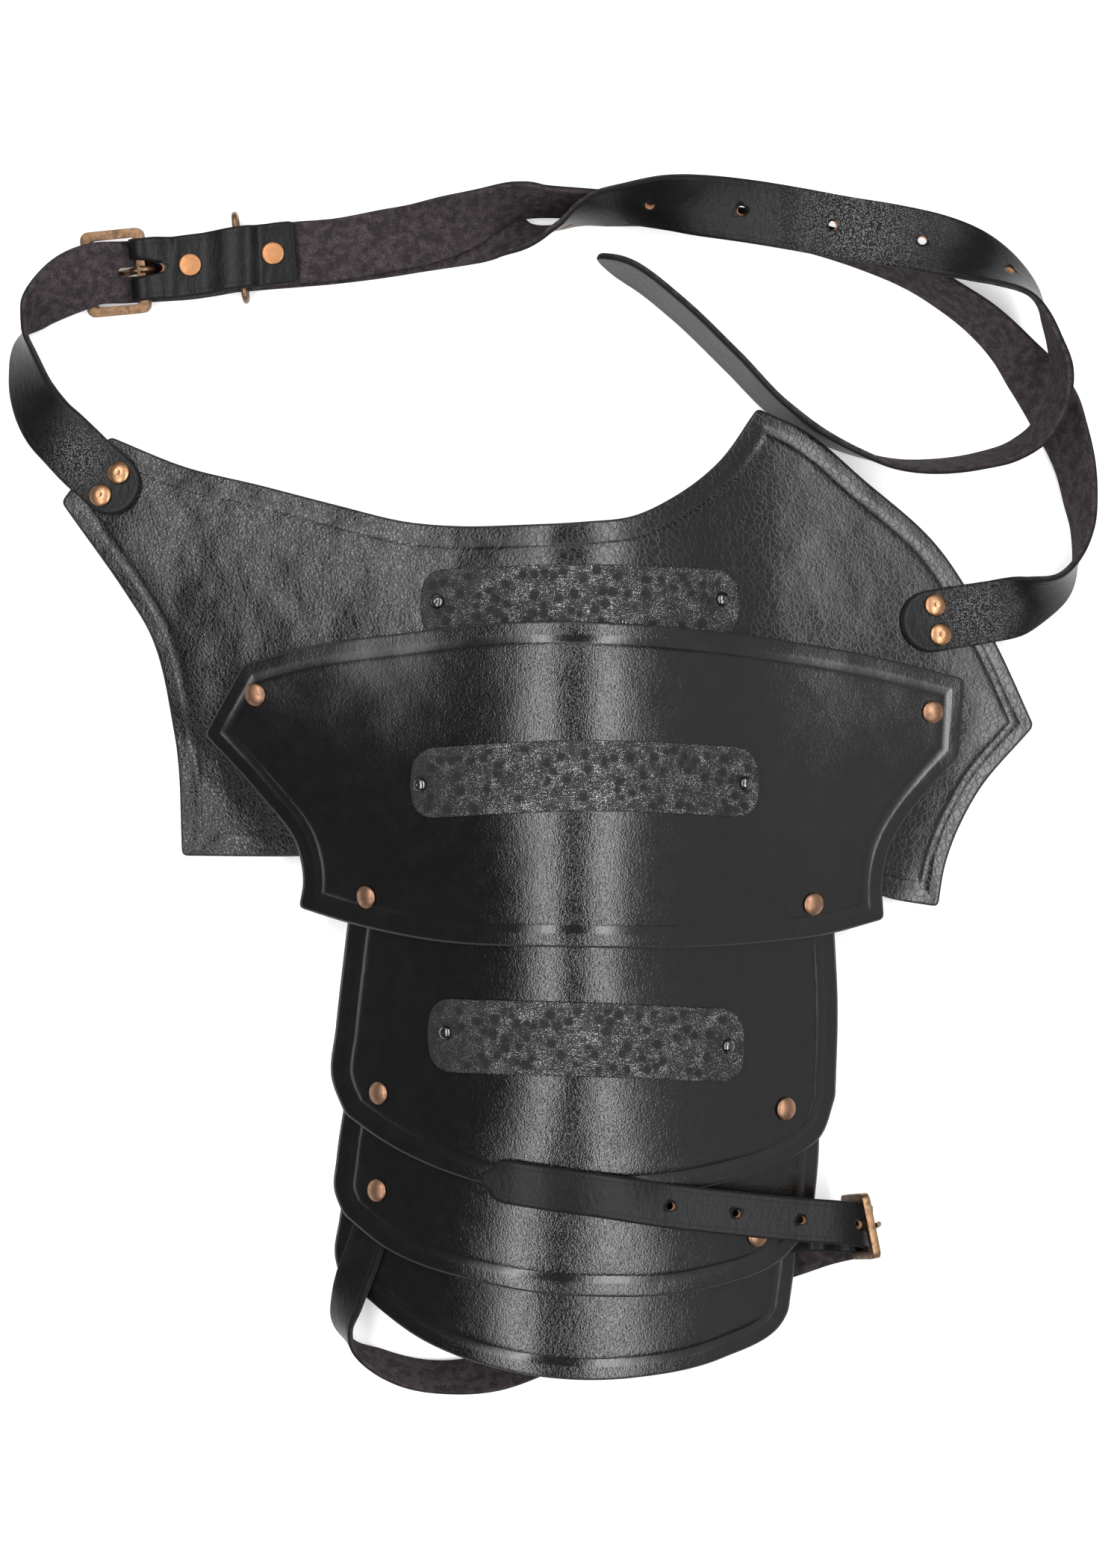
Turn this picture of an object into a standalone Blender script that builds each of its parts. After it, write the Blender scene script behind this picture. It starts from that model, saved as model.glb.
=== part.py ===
"""A leather pauldron lying on a table, grain side up.

A winged shoulder plate and four lames follow one arched surface and are riveted together
at their sides.  Three hammered steel strips are pinned across the ridge.  A long billet
strap and a buckle strap close round the chest, and a narrower pair closes round the arm.

Tables are in millimetres: x across the shoulder, y towards the neck, z up from the table.
"""
import math

import bpy
import numpy as np
from mathutils import Vector
from mathutils.geometry import delaunay_2d_cdt

for old in list(bpy.data.objects):
    bpy.data.objects.remove(old)

MM = 0.001
GAP = 0.4                    # clearance between neighbouring pieces
SEAT = 0.55                  # clearance under the large rivets' caps
PLATE = 3.0                  # thickness of the plate leather
CHEST_WIDTH = 26.4
CHEST_LEATHER = 2.8
ARM_WIDTH = 18.5
ARM_LEATHER = 2.5
STRIP = 1.0                  # thickness of the steel strips
WIRE = 2.0                   # radius of the buckle frames' bars
CORNER = 2.5                 # radius of the plates' cut corners
CELL = (11.0, 17.0)          # size of the facets inside a plate, across and along the ridge
EDGE_STEP = 10.0             # length of the facets along an edge
STRAP_STEP = 20.0            # and along a strap
ORIGIN = (-4.6, -2.0, 0.0)   # middle of the footprint
EIGHTHS = np.radians(np.arange(0, 360, 45))
SIXTHS = np.radians(np.arange(0, 360, 60))

# ------------------------------------------------------------------ the arched surface
KNEES = (50.0, 78.0)         # so far from the ridge the left and right flanks ease off
KNEE_SOFTNESS = 8.0
BLEND = 4.0                  # how gently the wings run out onto the table

# Cross-sections from the neck to the arm: where the ridge is, how high and how round,
# slopes of the two flanks, slopes of the two wings and heights that their edges lie at.
SECTIONS = (
    # y, ridge_x, ridge, radius, left_flank, right_flank, left_wing, right_wing, left_, right_rest
    (-260, -2, 57, 64, 0.80, 0.63, 0.80, 0.63, -30.0, -30.0),
    (-215, -2, 60, 64, 0.82, 0.63, 0.82, 0.63, -30.0, -30.0),
    (-170, 1, 64, 54, 0.83, 0.66, 0.83, 0.66, -30.0, -30.0),
    (-110, 5.5, 73, 36, 0.80, 0.70, 0.80, 0.70, -30.0, -30.0),
    (-80, 5.5, 75, 36, 0.83, 0.77, 0.83, 0.72, -12.0, -12.0),
    (-54, 5.5, 77, 36, 0.85, 0.80, 0.80, 0.60, 3.4, 3.4),
    (-10, 5.5, 77, 36, 0.76, 0.75, 0.62, 0.46, 3.5, 4.5),
    (30, 5.5, 75, 36, 0.73, 0.71, 0.435, 0.36, 4.5, 6.0),
    (70, 5.5, 69, 36, 0.66, 0.66, 0.33, 0.32, 6.0, 7.0),
    (110, 5.5, 62, 36, 0.59, 0.60, 0.24, 0.30, 6.5, 7.5),
    (165, 5.5, 50, 36, 0.54, 0.56, 0.21, 0.26, 6.5, 8.0),
)


def through(xs, ys, x):
    """Smooth curve through the points (xs, ys) that never swings past them."""
    xs = np.asarray(xs, float)
    ys = np.asarray(ys, float)
    step = np.diff(xs)
    slope = np.diff(ys) / step
    before, after = slope[:-1], slope[1:]
    agree = before * after > 0
    tangent = np.empty(len(xs))
    tangent[0], tangent[-1] = slope[0], slope[-1]
    tangent[1:-1] = np.where(agree, 2 * before * after / np.where(agree, before + after, 1), 0)
    i = np.clip(np.searchsorted(xs, x) - 1, 0, len(xs) - 2)
    t = np.clip((x - xs[i]) / step[i], 0, 1)
    rise = (1 + 2 * t) * (1 - t) ** 2 * ys[i] + t * t * (3 - 2 * t) * ys[i + 1]
    lean = t * (1 - t) ** 2 * tangent[i] - t * t * (1 - t) * tangent[i + 1]
    return rise + lean * step[i]


def bend_through(points, spacing):
    """Points about spacing apart on a smooth curve through the given ones."""
    points = np.asarray(points, float)
    step = np.diff(points, axis=0)
    length = np.linalg.norm(step, axis=1)[:, None]
    pace = step / length
    between = length[1:] * pace[:-1] + length[:-1] * pace[1:]
    tangent = np.vstack([pace[:1], between / (length[1:] + length[:-1]), pace[-1:]])
    curve = []
    for k, reach in enumerate(length[:, 0]):
        pieces = max(1, round(reach / spacing))
        t = (np.arange(pieces) / pieces)[:, None]
        place = (1 + 2 * t) * (1 - t) ** 2 * points[k] + t * t * (3 - 2 * t) * points[k + 1]
        lean = t * (1 - t) ** 2 * tangent[k] - t * t * (1 - t) * tangent[k + 1]
        curve.append(place + reach * lean)
    return np.vstack([*curve, points[-1:]])


def base_height(x, y):
    """Height of the surface that the plates follow."""
    x = np.asarray(x, float)
    y = np.asarray(y, float)
    table = np.array(SECTIONS, float).T
    ridge_x, ridge, radius, left, right, left_wing, right_wing, left_rest, right_rest = (
        through(table[0], column, y) for column in table[1:])
    across = x - ridge_x
    flank, wing, rest, knee = (
        np.where(across < 0, *sides) for sides in
        ((left, right), (left_wing, right_wing), (left_rest, right_rest), KNEES))
    beyond = KNEE_SOFTNESS * np.logaddexp(0, (abs(across) - knee) / KNEE_SOFTNESS)
    arch = ridge - flank * (np.hypot(across, radius) - radius) + (flank - wing) * beyond
    return rest + BLEND * np.logaddexp(0, (arch - rest) / BLEND)


def facing(x, y):
    """Unit normals of the surface, one row for each point."""
    step = 0.5
    slope_x = base_height(x + step, y) - base_height(x - step, y)
    slope_y = base_height(x, y + step) - base_height(x, y - step)
    normal = np.stack([-slope_x, -slope_y, np.ones_like(slope_x)], axis=-1)
    return normal / np.linalg.norm(normal, axis=-1, keepdims=True)


def on_surface(x, y, lift):
    """Points that stand lift above the surface, measured square to it, at plan x, y."""
    x = np.asarray(x, float)
    y = np.asarray(y, float)
    normal = facing(x, y)
    height = base_height(x, y) + lift / normal[..., 2]
    return np.stack([x, y, height], axis=-1), normal


# ------------------------------------------------------------------ materials and meshes
FINISHES = {
    # name: (colour, roughness, metallic)
    "plate_leather": ((0.012, 0.012, 0.013, 1), 0.42, 0.0),
    "strap_leather": ((0.014, 0.013, 0.013, 1), 0.48, 0.0),
    "steel": ((0.10, 0.10, 0.10, 1), 0.45, 1.0),
    "black_steel": ((0.02, 0.02, 0.02, 1), 0.3, 1.0),
    "copper": ((0.45, 0.26, 0.14, 1), 0.35, 1.0),
    "antique_brass": ((0.22, 0.14, 0.08, 1), 0.38, 1.0),
}


def finish(name):
    """The material of this name, made on first use."""
    material = bpy.data.materials.get(name)
    if material is None:
        colour, roughness, metallic = FINISHES[name]
        material = bpy.data.materials.new(name)
        material.use_nodes = True
        shader = material.node_tree.nodes["Principled BSDF"]
        shader.inputs["Base Color"].default_value = colour
        shader.inputs["Roughness"].default_value = roughness
        shader.inputs["Metallic"].default_value = metallic
    return material


def add_piece(name, points, faces, finish_name, smooth_angle=40):
    """One closed piece from points in millimetres, its faces turned outwards."""
    corners = (np.asarray(points, float) - ORIGIN) * MM
    volume = 0.0
    for face in faces:
        fan = corners[list(face)]
        for second, third in zip(fan[1:], fan[2:]):
            volume += np.dot(fan[0], np.cross(second, third))
    if volume < 0:
        faces = [tuple(reversed(face)) for face in faces]
    mesh = bpy.data.meshes.new(name)
    mesh.from_pydata(corners.tolist(), [], faces)
    mesh.validate()
    mesh.shade_smooth()
    mesh.set_sharp_from_angle(angle=math.radians(smooth_angle))
    mesh.materials.append(finish(finish_name))
    piece = bpy.data.objects.new(name, mesh)
    bpy.context.collection.objects.link(piece)
    return piece


# ------------------------------------------------------------------ cut flat, then bent
def cut_and_bend(name, loops, inner, bend, thickness, finish_name):
    """A sheet cut flat to an outline with holes, then bent.

    The first loop is the outline and the others are holes, in the flat pattern. bend turns
    points of the pattern into points on the outer face and the directions that it faces.
    """
    plan = [Vector(p) for p in np.vstack([*loops, inner])]
    edges = []
    for loop in loops:
        start = len(edges)
        edges.extend((start + k, start + (k + 1) % len(loop)) for k in range(len(loop)))
    verts, _, triangles, *_ = delaunay_2d_cdt(plan, edges, [], 0, 1e-6)
    flat = np.array([(v.x, v.y) for v in verts])
    centres = np.array([flat[list(t)].mean(axis=0) for t in triangles])
    solid = inside(loops[0], *centres.T)
    for loop in loops[1:]:
        solid &= ~inside(loop, *centres.T)
    outer, normals = bend(flat)
    count = len(flat)
    upper = [tuple(t) for t, wanted in zip(triangles, solid) if wanted]
    faces = upper + [tuple(count + i for i in reversed(t)) for t in upper]
    borders = {(a, b) for t in upper for a, b in zip(t, t[1:] + t[:1])}
    faces += [(b, a, count + a, count + b) for a, b in sorted(borders) if (b, a) not in borders]
    return add_piece(name, np.vstack([outer, outer - thickness * normals]), faces, finish_name)


def inside(outline, x, y):
    """Which points lie inside a closed outline."""
    within = np.zeros(np.shape(x), bool)
    for (x0, y0), (x1, y1) in zip(outline, np.roll(outline, -1, axis=0)):
        if y0 != y1:
            crosses = (y0 > y) != (y1 > y)
            within ^= crosses & (x < (x1 - x0) * (y - y0) / (y1 - y0) + x0)
    return within


def distance_to(outline, x, y):
    """Distance of each point from a closed outline."""
    nearest = np.full(np.shape(x), np.inf)
    for (x0, y0), (x1, y1) in zip(outline, np.roll(outline, -1, axis=0)):
        run, rise = x1 - x0, y1 - y0
        t = np.clip(((x - x0) * run + (y - y0) * rise) / (run * run + rise * rise), 0, 1)
        nearest = np.minimum(nearest, np.hypot(x - x0 - t * run, y - y0 - t * rise))
    return nearest


def outline_of(sides):
    """Closed outline of a plate: each side is a smooth curve, and its corners are rounded."""
    curves = [bend_through(side, EDGE_STEP) for side in sides]
    outline = []
    for before, after in zip(curves, curves[1:] + curves[:1]):
        tip = before[-1]
        start = tip + CORNER * (before[-2] - tip) / np.linalg.norm(before[-2] - tip)
        end = tip + CORNER * (after[1] - tip) / np.linalg.norm(after[1] - tip)
        outline.extend(before[1:-1])
        outline.extend((start, (start + 2 * tip + end) / 4, end))
    return np.array(outline)


def strip_outline(left_x, left_y, middle_y, right_x, right_y, half):
    """Round-ended outline of a strip whose centre line bends through three points."""
    line = bend_through([(left_x + half, left_y), ((left_x + right_x) / 2, middle_y),
                         (right_x - half, right_y)], 9.0)
    arc = [math.radians(a) for a in (60, 30, 0, -30, -60)]
    right_end = line[-1] + [(half * math.cos(a), half * math.sin(a)) for a in arc]
    left_end = line[0] - [(half * math.cos(a), half * math.sin(a)) for a in arc]
    return np.vstack([line + (0, half), right_end, line[::-1] - (0, half), left_end])


def sheet(name, outline, lift, thickness, finish_name, holes):
    """A sheet bent over the surface; lift is that of its outer face."""
    loops = [outline]
    for x, y, radius in holes:
        normal = facing(x, y)
        right = np.cross((0, 1, 0), normal)
        right /= np.linalg.norm(right)
        up = np.cross(normal, right)
        loops.append(np.array([(x, y) + radius * (math.cos(a) * right + math.sin(a) * up)[:2]
                               for a in EIGHTHS]))
    low, high = outline.min(axis=0), outline.max(axis=0)
    rows = enumerate(np.arange(low[1] + 4, high[1], CELL[1]))
    grid = np.array([(x + (row % 2) * CELL[0] / 2, y) for row, y in rows
                     for x in np.arange(low[0], high[0], CELL[0])])
    keep = inside(outline, *grid.T) & (distance_to(outline, *grid.T) > CELL[0] * 0.5)
    for loop in loops[1:]:
        keep &= np.hypot(*(grid - loop.mean(axis=0)).T) > CELL[0] * 0.6

    def bend(flat):
        return on_surface(flat[:, 0], flat[:, 1], lift)

    return cut_and_bend(name, loops, grid[keep], bend, thickness, finish_name)


# ------------------------------------------------------------------ straps
def course_of(stations):
    """Course of a strap at fine steps, and how far along it each station stands.

    A station is x, y, z, roll and, where the strap turns over a bar, the bearing that its
    width keeps; elsewhere the bearing is that of its route. Roll 0 lies grain side up, and
    a positive roll raises the edge on the left of the route.
    """
    places = np.array([row[:3] for row in stations], float)
    centre = bend_through(places, 0.5)
    along = np.concatenate([[0], np.cumsum(np.linalg.norm(np.diff(centre, axis=0), axis=1))])
    marks = np.array([along[np.argmin(np.linalg.norm(centre - place, axis=1))]
                      for place in places])
    ahead = np.gradient(centre, along, axis=0)
    ahead /= np.linalg.norm(ahead, axis=1, keepdims=True)
    route = np.unwrap([math.atan2(np.interp(s, along, ahead[:, 1]),
                                  np.interp(s, along, ahead[:, 0])) for s in marks])
    bearing = np.degrees(route)
    for k, row in enumerate(stations):
        if len(row) > 4:
            bearing[k] = row[4] + 360 * round((bearing[k - 1] - row[4]) / 360)
    turn = np.radians(through(marks, bearing, along))
    roll = np.radians(through(marks, [row[3] for row in stations], along))
    across = np.stack([-np.sin(turn) * np.cos(roll), np.cos(turn) * np.cos(roll),
                       np.sin(roll)], axis=1)
    across -= ahead * np.sum(across * ahead, axis=1, keepdims=True)
    across /= np.linalg.norm(across, axis=1, keepdims=True)
    return along, centre, across, np.cross(ahead, across), marks


def place_on(course, distance, aside=0.0):
    """Point of a strap's middle layer, and the direction its grain faces."""
    along, centre, across, face, _ = course
    point, sideways, normal = (np.stack([np.interp(distance, along, part[:, k])
                                         for k in range(3)], axis=-1)
                               for part in (centre, across, face))
    normal /= np.linalg.norm(normal, axis=-1, keepdims=True)
    return point + sideways * np.asarray(aside)[..., None], normal


def spot(course, point):
    """Where on a strap a point lies: its distance along and its distance aside."""
    along, centre, across = course[:3]
    nearest = int(np.argmin(np.linalg.norm(centre - point, axis=1)))
    return float(along[nearest]), float(across[nearest] @ (np.array(point) - centre[nearest]))


def punched(course, point, radius):
    """A round hole through a strap at this point."""
    return (*spot(course, point), radius, 0)


def slot(course, start, end, radius):
    """A slot along the middle of a strap, from one point to another."""
    first, last = spot(course, start)[0], spot(course, end)[0]
    return ((first + last) / 2, 0, radius, last - first)


def round_end(half):
    """Rim of a rounded end: distance from the end, distance from the middle line."""
    return [(half * (1 - math.cos(a)), half * math.sin(a))
            for a in np.radians((0, 30, 60, 90))]


def pointed_end(half):
    """Rim of a rounded point."""
    return [(0, 0), (0.8, half * 0.24), (4, half * 0.52), (half * 0.75, half * 0.86),
            (half * 1.25, half)]


def square_end(half):
    """Rim of an end cut straight across."""
    return [(0, 0), (0, half)]


def strap(name, course, width, thickness, ends, holes):
    """A strap cut with its holes and laid along its course.

    A hole is its distance along, its distance aside, its radius and its extra length.
    """
    length, marks = course[0][-1], course[4]
    steps = [np.linspace(a, b, max(1, math.ceil((b - a) / STRAP_STEP)), endpoint=False)
             for a, b in zip(marks, marks[1:])]
    rows = np.concatenate(steps)[1:]
    rows = rows[np.diff(np.concatenate([[0], rows])) > 1.0]
    start, end = ends[0](width / 2), ends[1](width / 2)
    middle = rows[(rows > start[-1][0] + 2) & (rows < length - end[-1][0] - 2)]
    rim = start + [(s, width / 2) for s in middle] + [(length - s, w) for s, w in end[::-1]]
    outline = np.array(rim[:-1] + [(s, -w) for s, w in rim[:0:-1]])
    loops = [outline]
    inner = np.array([(s, 0.0) for s in rows if 6 < s < length - 6])
    for distance, aside, radius, extra in holes:
        near = rows[abs(rows - distance) < extra / 2 - radius * 0.3] if extra > 8 else []
        side = [(s, aside + radius) for s in near][::-1]
        ring = [(distance + math.copysign(extra / 2, math.cos(a)) + radius * math.cos(a),
                 aside + radius * math.sin(a)) for a in EIGHTHS + math.pi / 8]
        loops.append(np.array(ring[:2] + side + ring[2:6]
                              + [(s, 2 * aside - w) for s, w in side[::-1]] + ring[6:]))
        inner = inner[abs(inner[:, 0] - distance) > extra / 2 + radius + 1.5]

    def bend(flat):
        centre, normal = place_on(course, flat[:, 0], flat[:, 1])
        return centre + normal * thickness / 2, normal

    return cut_and_bend(name, loops, inner, bend, thickness, "strap_leather")


def width_direction(bearing, roll):
    """Direction across a strap or a buckle, level apart from its roll."""
    turn, lean = math.radians(bearing), math.radians(roll)
    return np.array((-math.sin(turn) * math.cos(lean), math.cos(turn) * math.cos(lean),
                     math.sin(lean)))


def round_bar(bar, radius, start, end, roll, bearing, steps=5):
    """Stations of a strap round a buckle's bar, from one angle above its heading to another."""
    heading = np.array((math.cos(math.radians(bearing)), math.sin(math.radians(bearing)), 0))
    up = np.cross(heading, width_direction(bearing, roll))
    up *= np.sign(up[2])
    return tuple((*(bar + radius * (math.cos(a) * heading + math.sin(a) * up)), roll, bearing)
                 for a in np.radians(np.linspace(start, end, steps)))


def laid(lift, bearing, *places, turn=0):
    """Stations laid on the surface with this lift, their rolls following its slope."""
    left = width_direction(bearing, 0)
    stations = []
    for x, y in places:
        point, normal = on_surface(x, y, lift)
        roll = turn + math.degrees(math.atan2(-left @ normal, normal[2]))
        kept = (bearing,) if turn else ()
        stations.append((x, y, float(point[2]), roll, *kept))
    return stations


# ------------------------------------------------------------------ wire and rivets
def rounded_loop(corners, radii):
    """Closed path through four corners, each with its own radius of bend."""
    corners = np.array(corners, float)
    path = []
    for before, tip, after, radius in zip(np.roll(corners, 1, axis=0), corners,
                                          np.roll(corners, -1, axis=0), radii):
        start = tip + radius * (before - tip) / np.linalg.norm(before - tip)
        end = tip + radius * (after - tip) / np.linalg.norm(after - tip)
        for t in (0, 0.33, 0.67, 1):
            bulge = 1.72 * t * (1 - t)
            path.append((start * (1 - t) + end * t) * (1 - bulge) + tip * bulge)
    return np.array(path)


def wire(name, path, radius, square_to, closed=False):
    """Round wire along a flat path; square_to is the direction the path's plane faces."""
    path = np.asarray(path, float)
    ends = (np.roll(path, 1, axis=0), np.roll(path, -1, axis=0))
    if not closed:
        ends[0][0], ends[1][-1] = path[0], path[-1]
    ahead = ends[1] - ends[0]
    ahead /= np.linalg.norm(ahead, axis=1, keepdims=True)
    side = np.asarray(square_to, float) / np.linalg.norm(square_to)
    points = []
    for place, direction in zip(path, ahead):
        first = side - direction * np.dot(side, direction)
        first /= np.linalg.norm(first)
        second = np.cross(direction, first)
        points.extend(place + radius * (math.cos(a) * first + math.sin(a) * second)
                      for a in SIXTHS)
    return add_piece(name, points, ring_faces(len(path), 6, closed), "antique_brass", 75)


def ring_faces(rings, around, closed):
    """Quads between rings of points, with a cap at each end unless the rings close up."""
    faces = []
    for row in range(rings if closed else rings - 1):
        after = (row + 1) % rings
        for k in range(around):
            next_k = (k + 1) % around
            faces.append((row * around + k, row * around + next_k,
                          after * around + next_k, after * around + k))
    if not closed:
        faces.append(tuple(reversed(range(around))))
        faces.append(tuple(range((rings - 1) * around, rings * around)))
    return faces


def turned(name, profile, foot, axis, finish_name, around=8):
    """A turned piece standing on foot: profile rows are radius and height along the axis."""
    upright = Vector(axis).to_track_quat("Z", "Y").to_matrix()
    points = [Vector(foot) + upright @ Vector((radius * math.cos(a), radius * math.sin(a), height))
              for radius, height in profile
              for a in np.linspace(0, 2 * math.pi, around, endpoint=False)]
    return add_piece(name, points, ring_faces(len(profile), around, False), finish_name)


def cap_rivet(name, top, axis, grip):
    """A domed cap, a shank and a back cap that hold layers of thickness grip."""
    profile = ((1.4, SEAT + 1.9), (3.4, SEAT + 1.4), (4.85, SEAT), (SHANK, SEAT),
               (SHANK, -grip - SEAT), (4.0, -grip - SEAT), (4.0, -grip - SEAT - 0.8))
    return turned(name, profile, top, axis, "copper")


def flat_rivet(name, top, axis, grip):
    """A flat-headed rivet with a thin back cap."""
    profile = ((4.4, GAP + 1.0), (4.85, GAP), (SHANK, GAP), (SHANK, -grip - GAP),
               (3.4, -grip - GAP), (3.4, -grip - GAP - 0.6))
    return turned(name, profile, top, axis, "copper")


def pin_rivet(name, top, axis, grip):
    """A small black pin rivet."""
    profile = ((1.3, GAP + 1.8), (3.0, GAP), (PIN, GAP), (PIN, -grip - GAP),
               (2.0, -grip - GAP), (2.0, -grip - GAP - 0.7))
    return turned(name, profile, top, axis, "black_steel")


# ------------------------------------------------------------------ plates
SHOULDER = (
    ((-193, 149), (-159, 135), (-128, 127), (-95, 118), (-63, 110), (-41, 108), (-16, 108),
     (9, 109), (31, 112), (47, 120), (66, 135), (84, 160)),
    ((84, 160), (104, 151), (130, 130), (161, 103), (187, 61), (204, 25)),
    ((204, 25), (179, -5), (166, -35), (163, -53)),
    ((163, -53), (138, -48), (118, -37), (62, -27), (5, -25), (-47, -26), (-112, -31),
     (-163, -31)),
    ((-163, -31), (-166, 22), (-177, 67), (-185, 80), (-214, 121)),
    ((-214, 121), (-193, 149)),
)
LAME_1 = (
    ((-134, 51), (-111, 57), (-66, 63), (-20, 67), (34, 66), (91, 61), (134, 54), (173, 45)),
    ((173, 45), (171, 12)),
    ((171, 12), (159, -1), (147, -16), (141, -27), (138, -42), (139, -58)),
    ((139, -58), (114, -64), (84, -67), (5, -67), (-57, -65), (-90, -59), (-112, -53)),
    ((-112, -53), (-110, -42), (-112, -28), (-130, -3), (-152, 21)),
    ((-152, 21), (-134, 51)),
)
LAME_2 = (
    ((-88, -39), (5, -37), (116, -45)),
    ((116, -45), (119, -90), (118, -134)),
    ((118, -134), (111, -151), (99, -159), (63, -169), (5, -171), (-35, -166), (-76, -151),
     (-92, -141)),
    ((-92, -141), (-98, -126), (-96, -104), (-88, -39)),
)
LAME_3 = (
    ((-89, -118), (-28, -142), (37, -142), (109, -124)),
    ((109, -124), (111, -150), (108, -188)),
    ((108, -188), (95, -202), (60, -213), (15, -214), (-31, -209), (-76, -196), (-93, -184)),
    ((-93, -184), (-97, -174), (-96, -161), (-89, -118)),
)
LAME_4 = (
    ((-91, -161), (-28, -184), (37, -187), (100, -171)),
    ((100, -171), (101, -200), (98, -226)),
    ((98, -226), (95, -231), (69, -244), (30, -250), (-13, -248), (-58, -236), (-95, -211)),
    ((-95, -211), (-97, -203), (-95, -187), (-91, -161)),
)
# Lifts of the plates' outer faces. The arm straps fit between lames 3 and 4.
LAME_1_LIFT = PLATE + STRIP + 2.2 * GAP
LAME_3_LIFT = -PLATE - 1.8 * GAP
ARM_STRAP_LIFT = LAME_3_LIFT - PLATE - GAP - ARM_LEATHER / 2
LAME_4_LIFT = LAME_3_LIFT - PLATE - ARM_LEATHER - 2 * GAP
PLATES = {
    # name: (sides, lift of its outer face)
    "shoulder_plate": (SHOULDER, 0.0),
    "lame_1": (LAME_1, LAME_1_LIFT),
    "lame_2": (LAME_2, 0.0),
    "lame_3": (LAME_3, LAME_3_LIFT),
    "lame_4": (LAME_4, LAME_4_LIFT),
}
STRIPS = {
    # name: ((left x, left y, middle y, right x, right y, half height), plate it lies on)
    "steel_strip_1": ((-58, 75.0, 76.5, 75, 75.5, 14.6), "shoulder_plate"),
    "steel_strip_2": ((-62, 0.0, 3.5, 83, 0.5, 14.6), "lame_1"),
    "steel_strip_3": ((-55, -105.0, -105.5, 77, -110.0, 15.4), "lame_2"),
}
SHANK = 1.5                  # radius of the rivets' shanks
HOLE = 2.1                   # and of the holes that they pass through
PIN = 1.0
PIN_HOLE = 1.5
LAME_RIVETS = (
    # x, y, outermost plate, innermost plate
    (-128.8, 37.9, "lame_1", "shoulder_plate"),
    (158.8, 30.7, "lame_1", "shoulder_plate"),
    (-81.5, -47.7, "lame_1", "lame_2"),
    (107.2, -50.9, "lame_1", "lame_2"),
    (-76.6, -131.1, "lame_2", "lame_3"),
    (95.6, -137.7, "lame_2", "lame_3"),
    (-77.5, -172.8, "lame_3", "lame_4"),
    (83.5, -191.3, "lame_3", "lame_4"),
)
STRIP_RIVETS = (
    # x, y, strip
    (-51.2, 76.1, "steel_strip_1"),
    (68.0, 77.4, "steel_strip_1"),
    (-58.1, -0.3, "steel_strip_2"),
    (77.5, 0.3, "steel_strip_2"),
    (-47.7, -103.9, "steel_strip_3"),
    (70.4, -109.8, "steel_strip_3"),
)

# ------------------------------------------------------------------ the straps' courses
CHEST_BAR = (-179.0, 220.6, 11.9)      # middle of the chest buckle's heel bar
CHEST_TOE = (-202.6, 218.7, 5.9)       # and of its toe bar
CHEST_BEARING = 184.0                  # the buckle points this way
CHEST_ROLL = 173.0                     # its far end stands a little higher
CHEST_BAR_HALF = 16.2                  # half its width, to the middle of the side bars
CHEST_WRAP = 4.0                       # radius of the strap's middle layer round the bar
ARM_BAR = (124.8, -190.9, 14.0)
ARM_TOE = (130.8, -185.2, 37.0)
ARM_BEARING = 5.0
ARM_BAR_HALF = 12.2
ARM_WIRE = 1.8
ARM_WRAP = 3.9
PRONG = 1.5
ARM_PRONG = 1.2
BILLET_HOLES = (183.2, 39.4, 10)       # distance to the first hole, pitch, how many
ARM_HOLES = (348, 374, 403, 432)
CHEST_RIVETS = (
    # x, y, height of the strap's middle layer
    (-187.9, 132.4, 17.5), (-195.7, 123.1, 16.9), (159.6, 76.4, 16.4), (162.2, 63.9, 16.2),
)
FOLD_RIVETS = (
    # x, y, height of the fold, height of the strap under it
    (-158.5, 222.5, 11.2, 7.9), (-123, 227.4, 11.2, 7.9),
)

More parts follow.
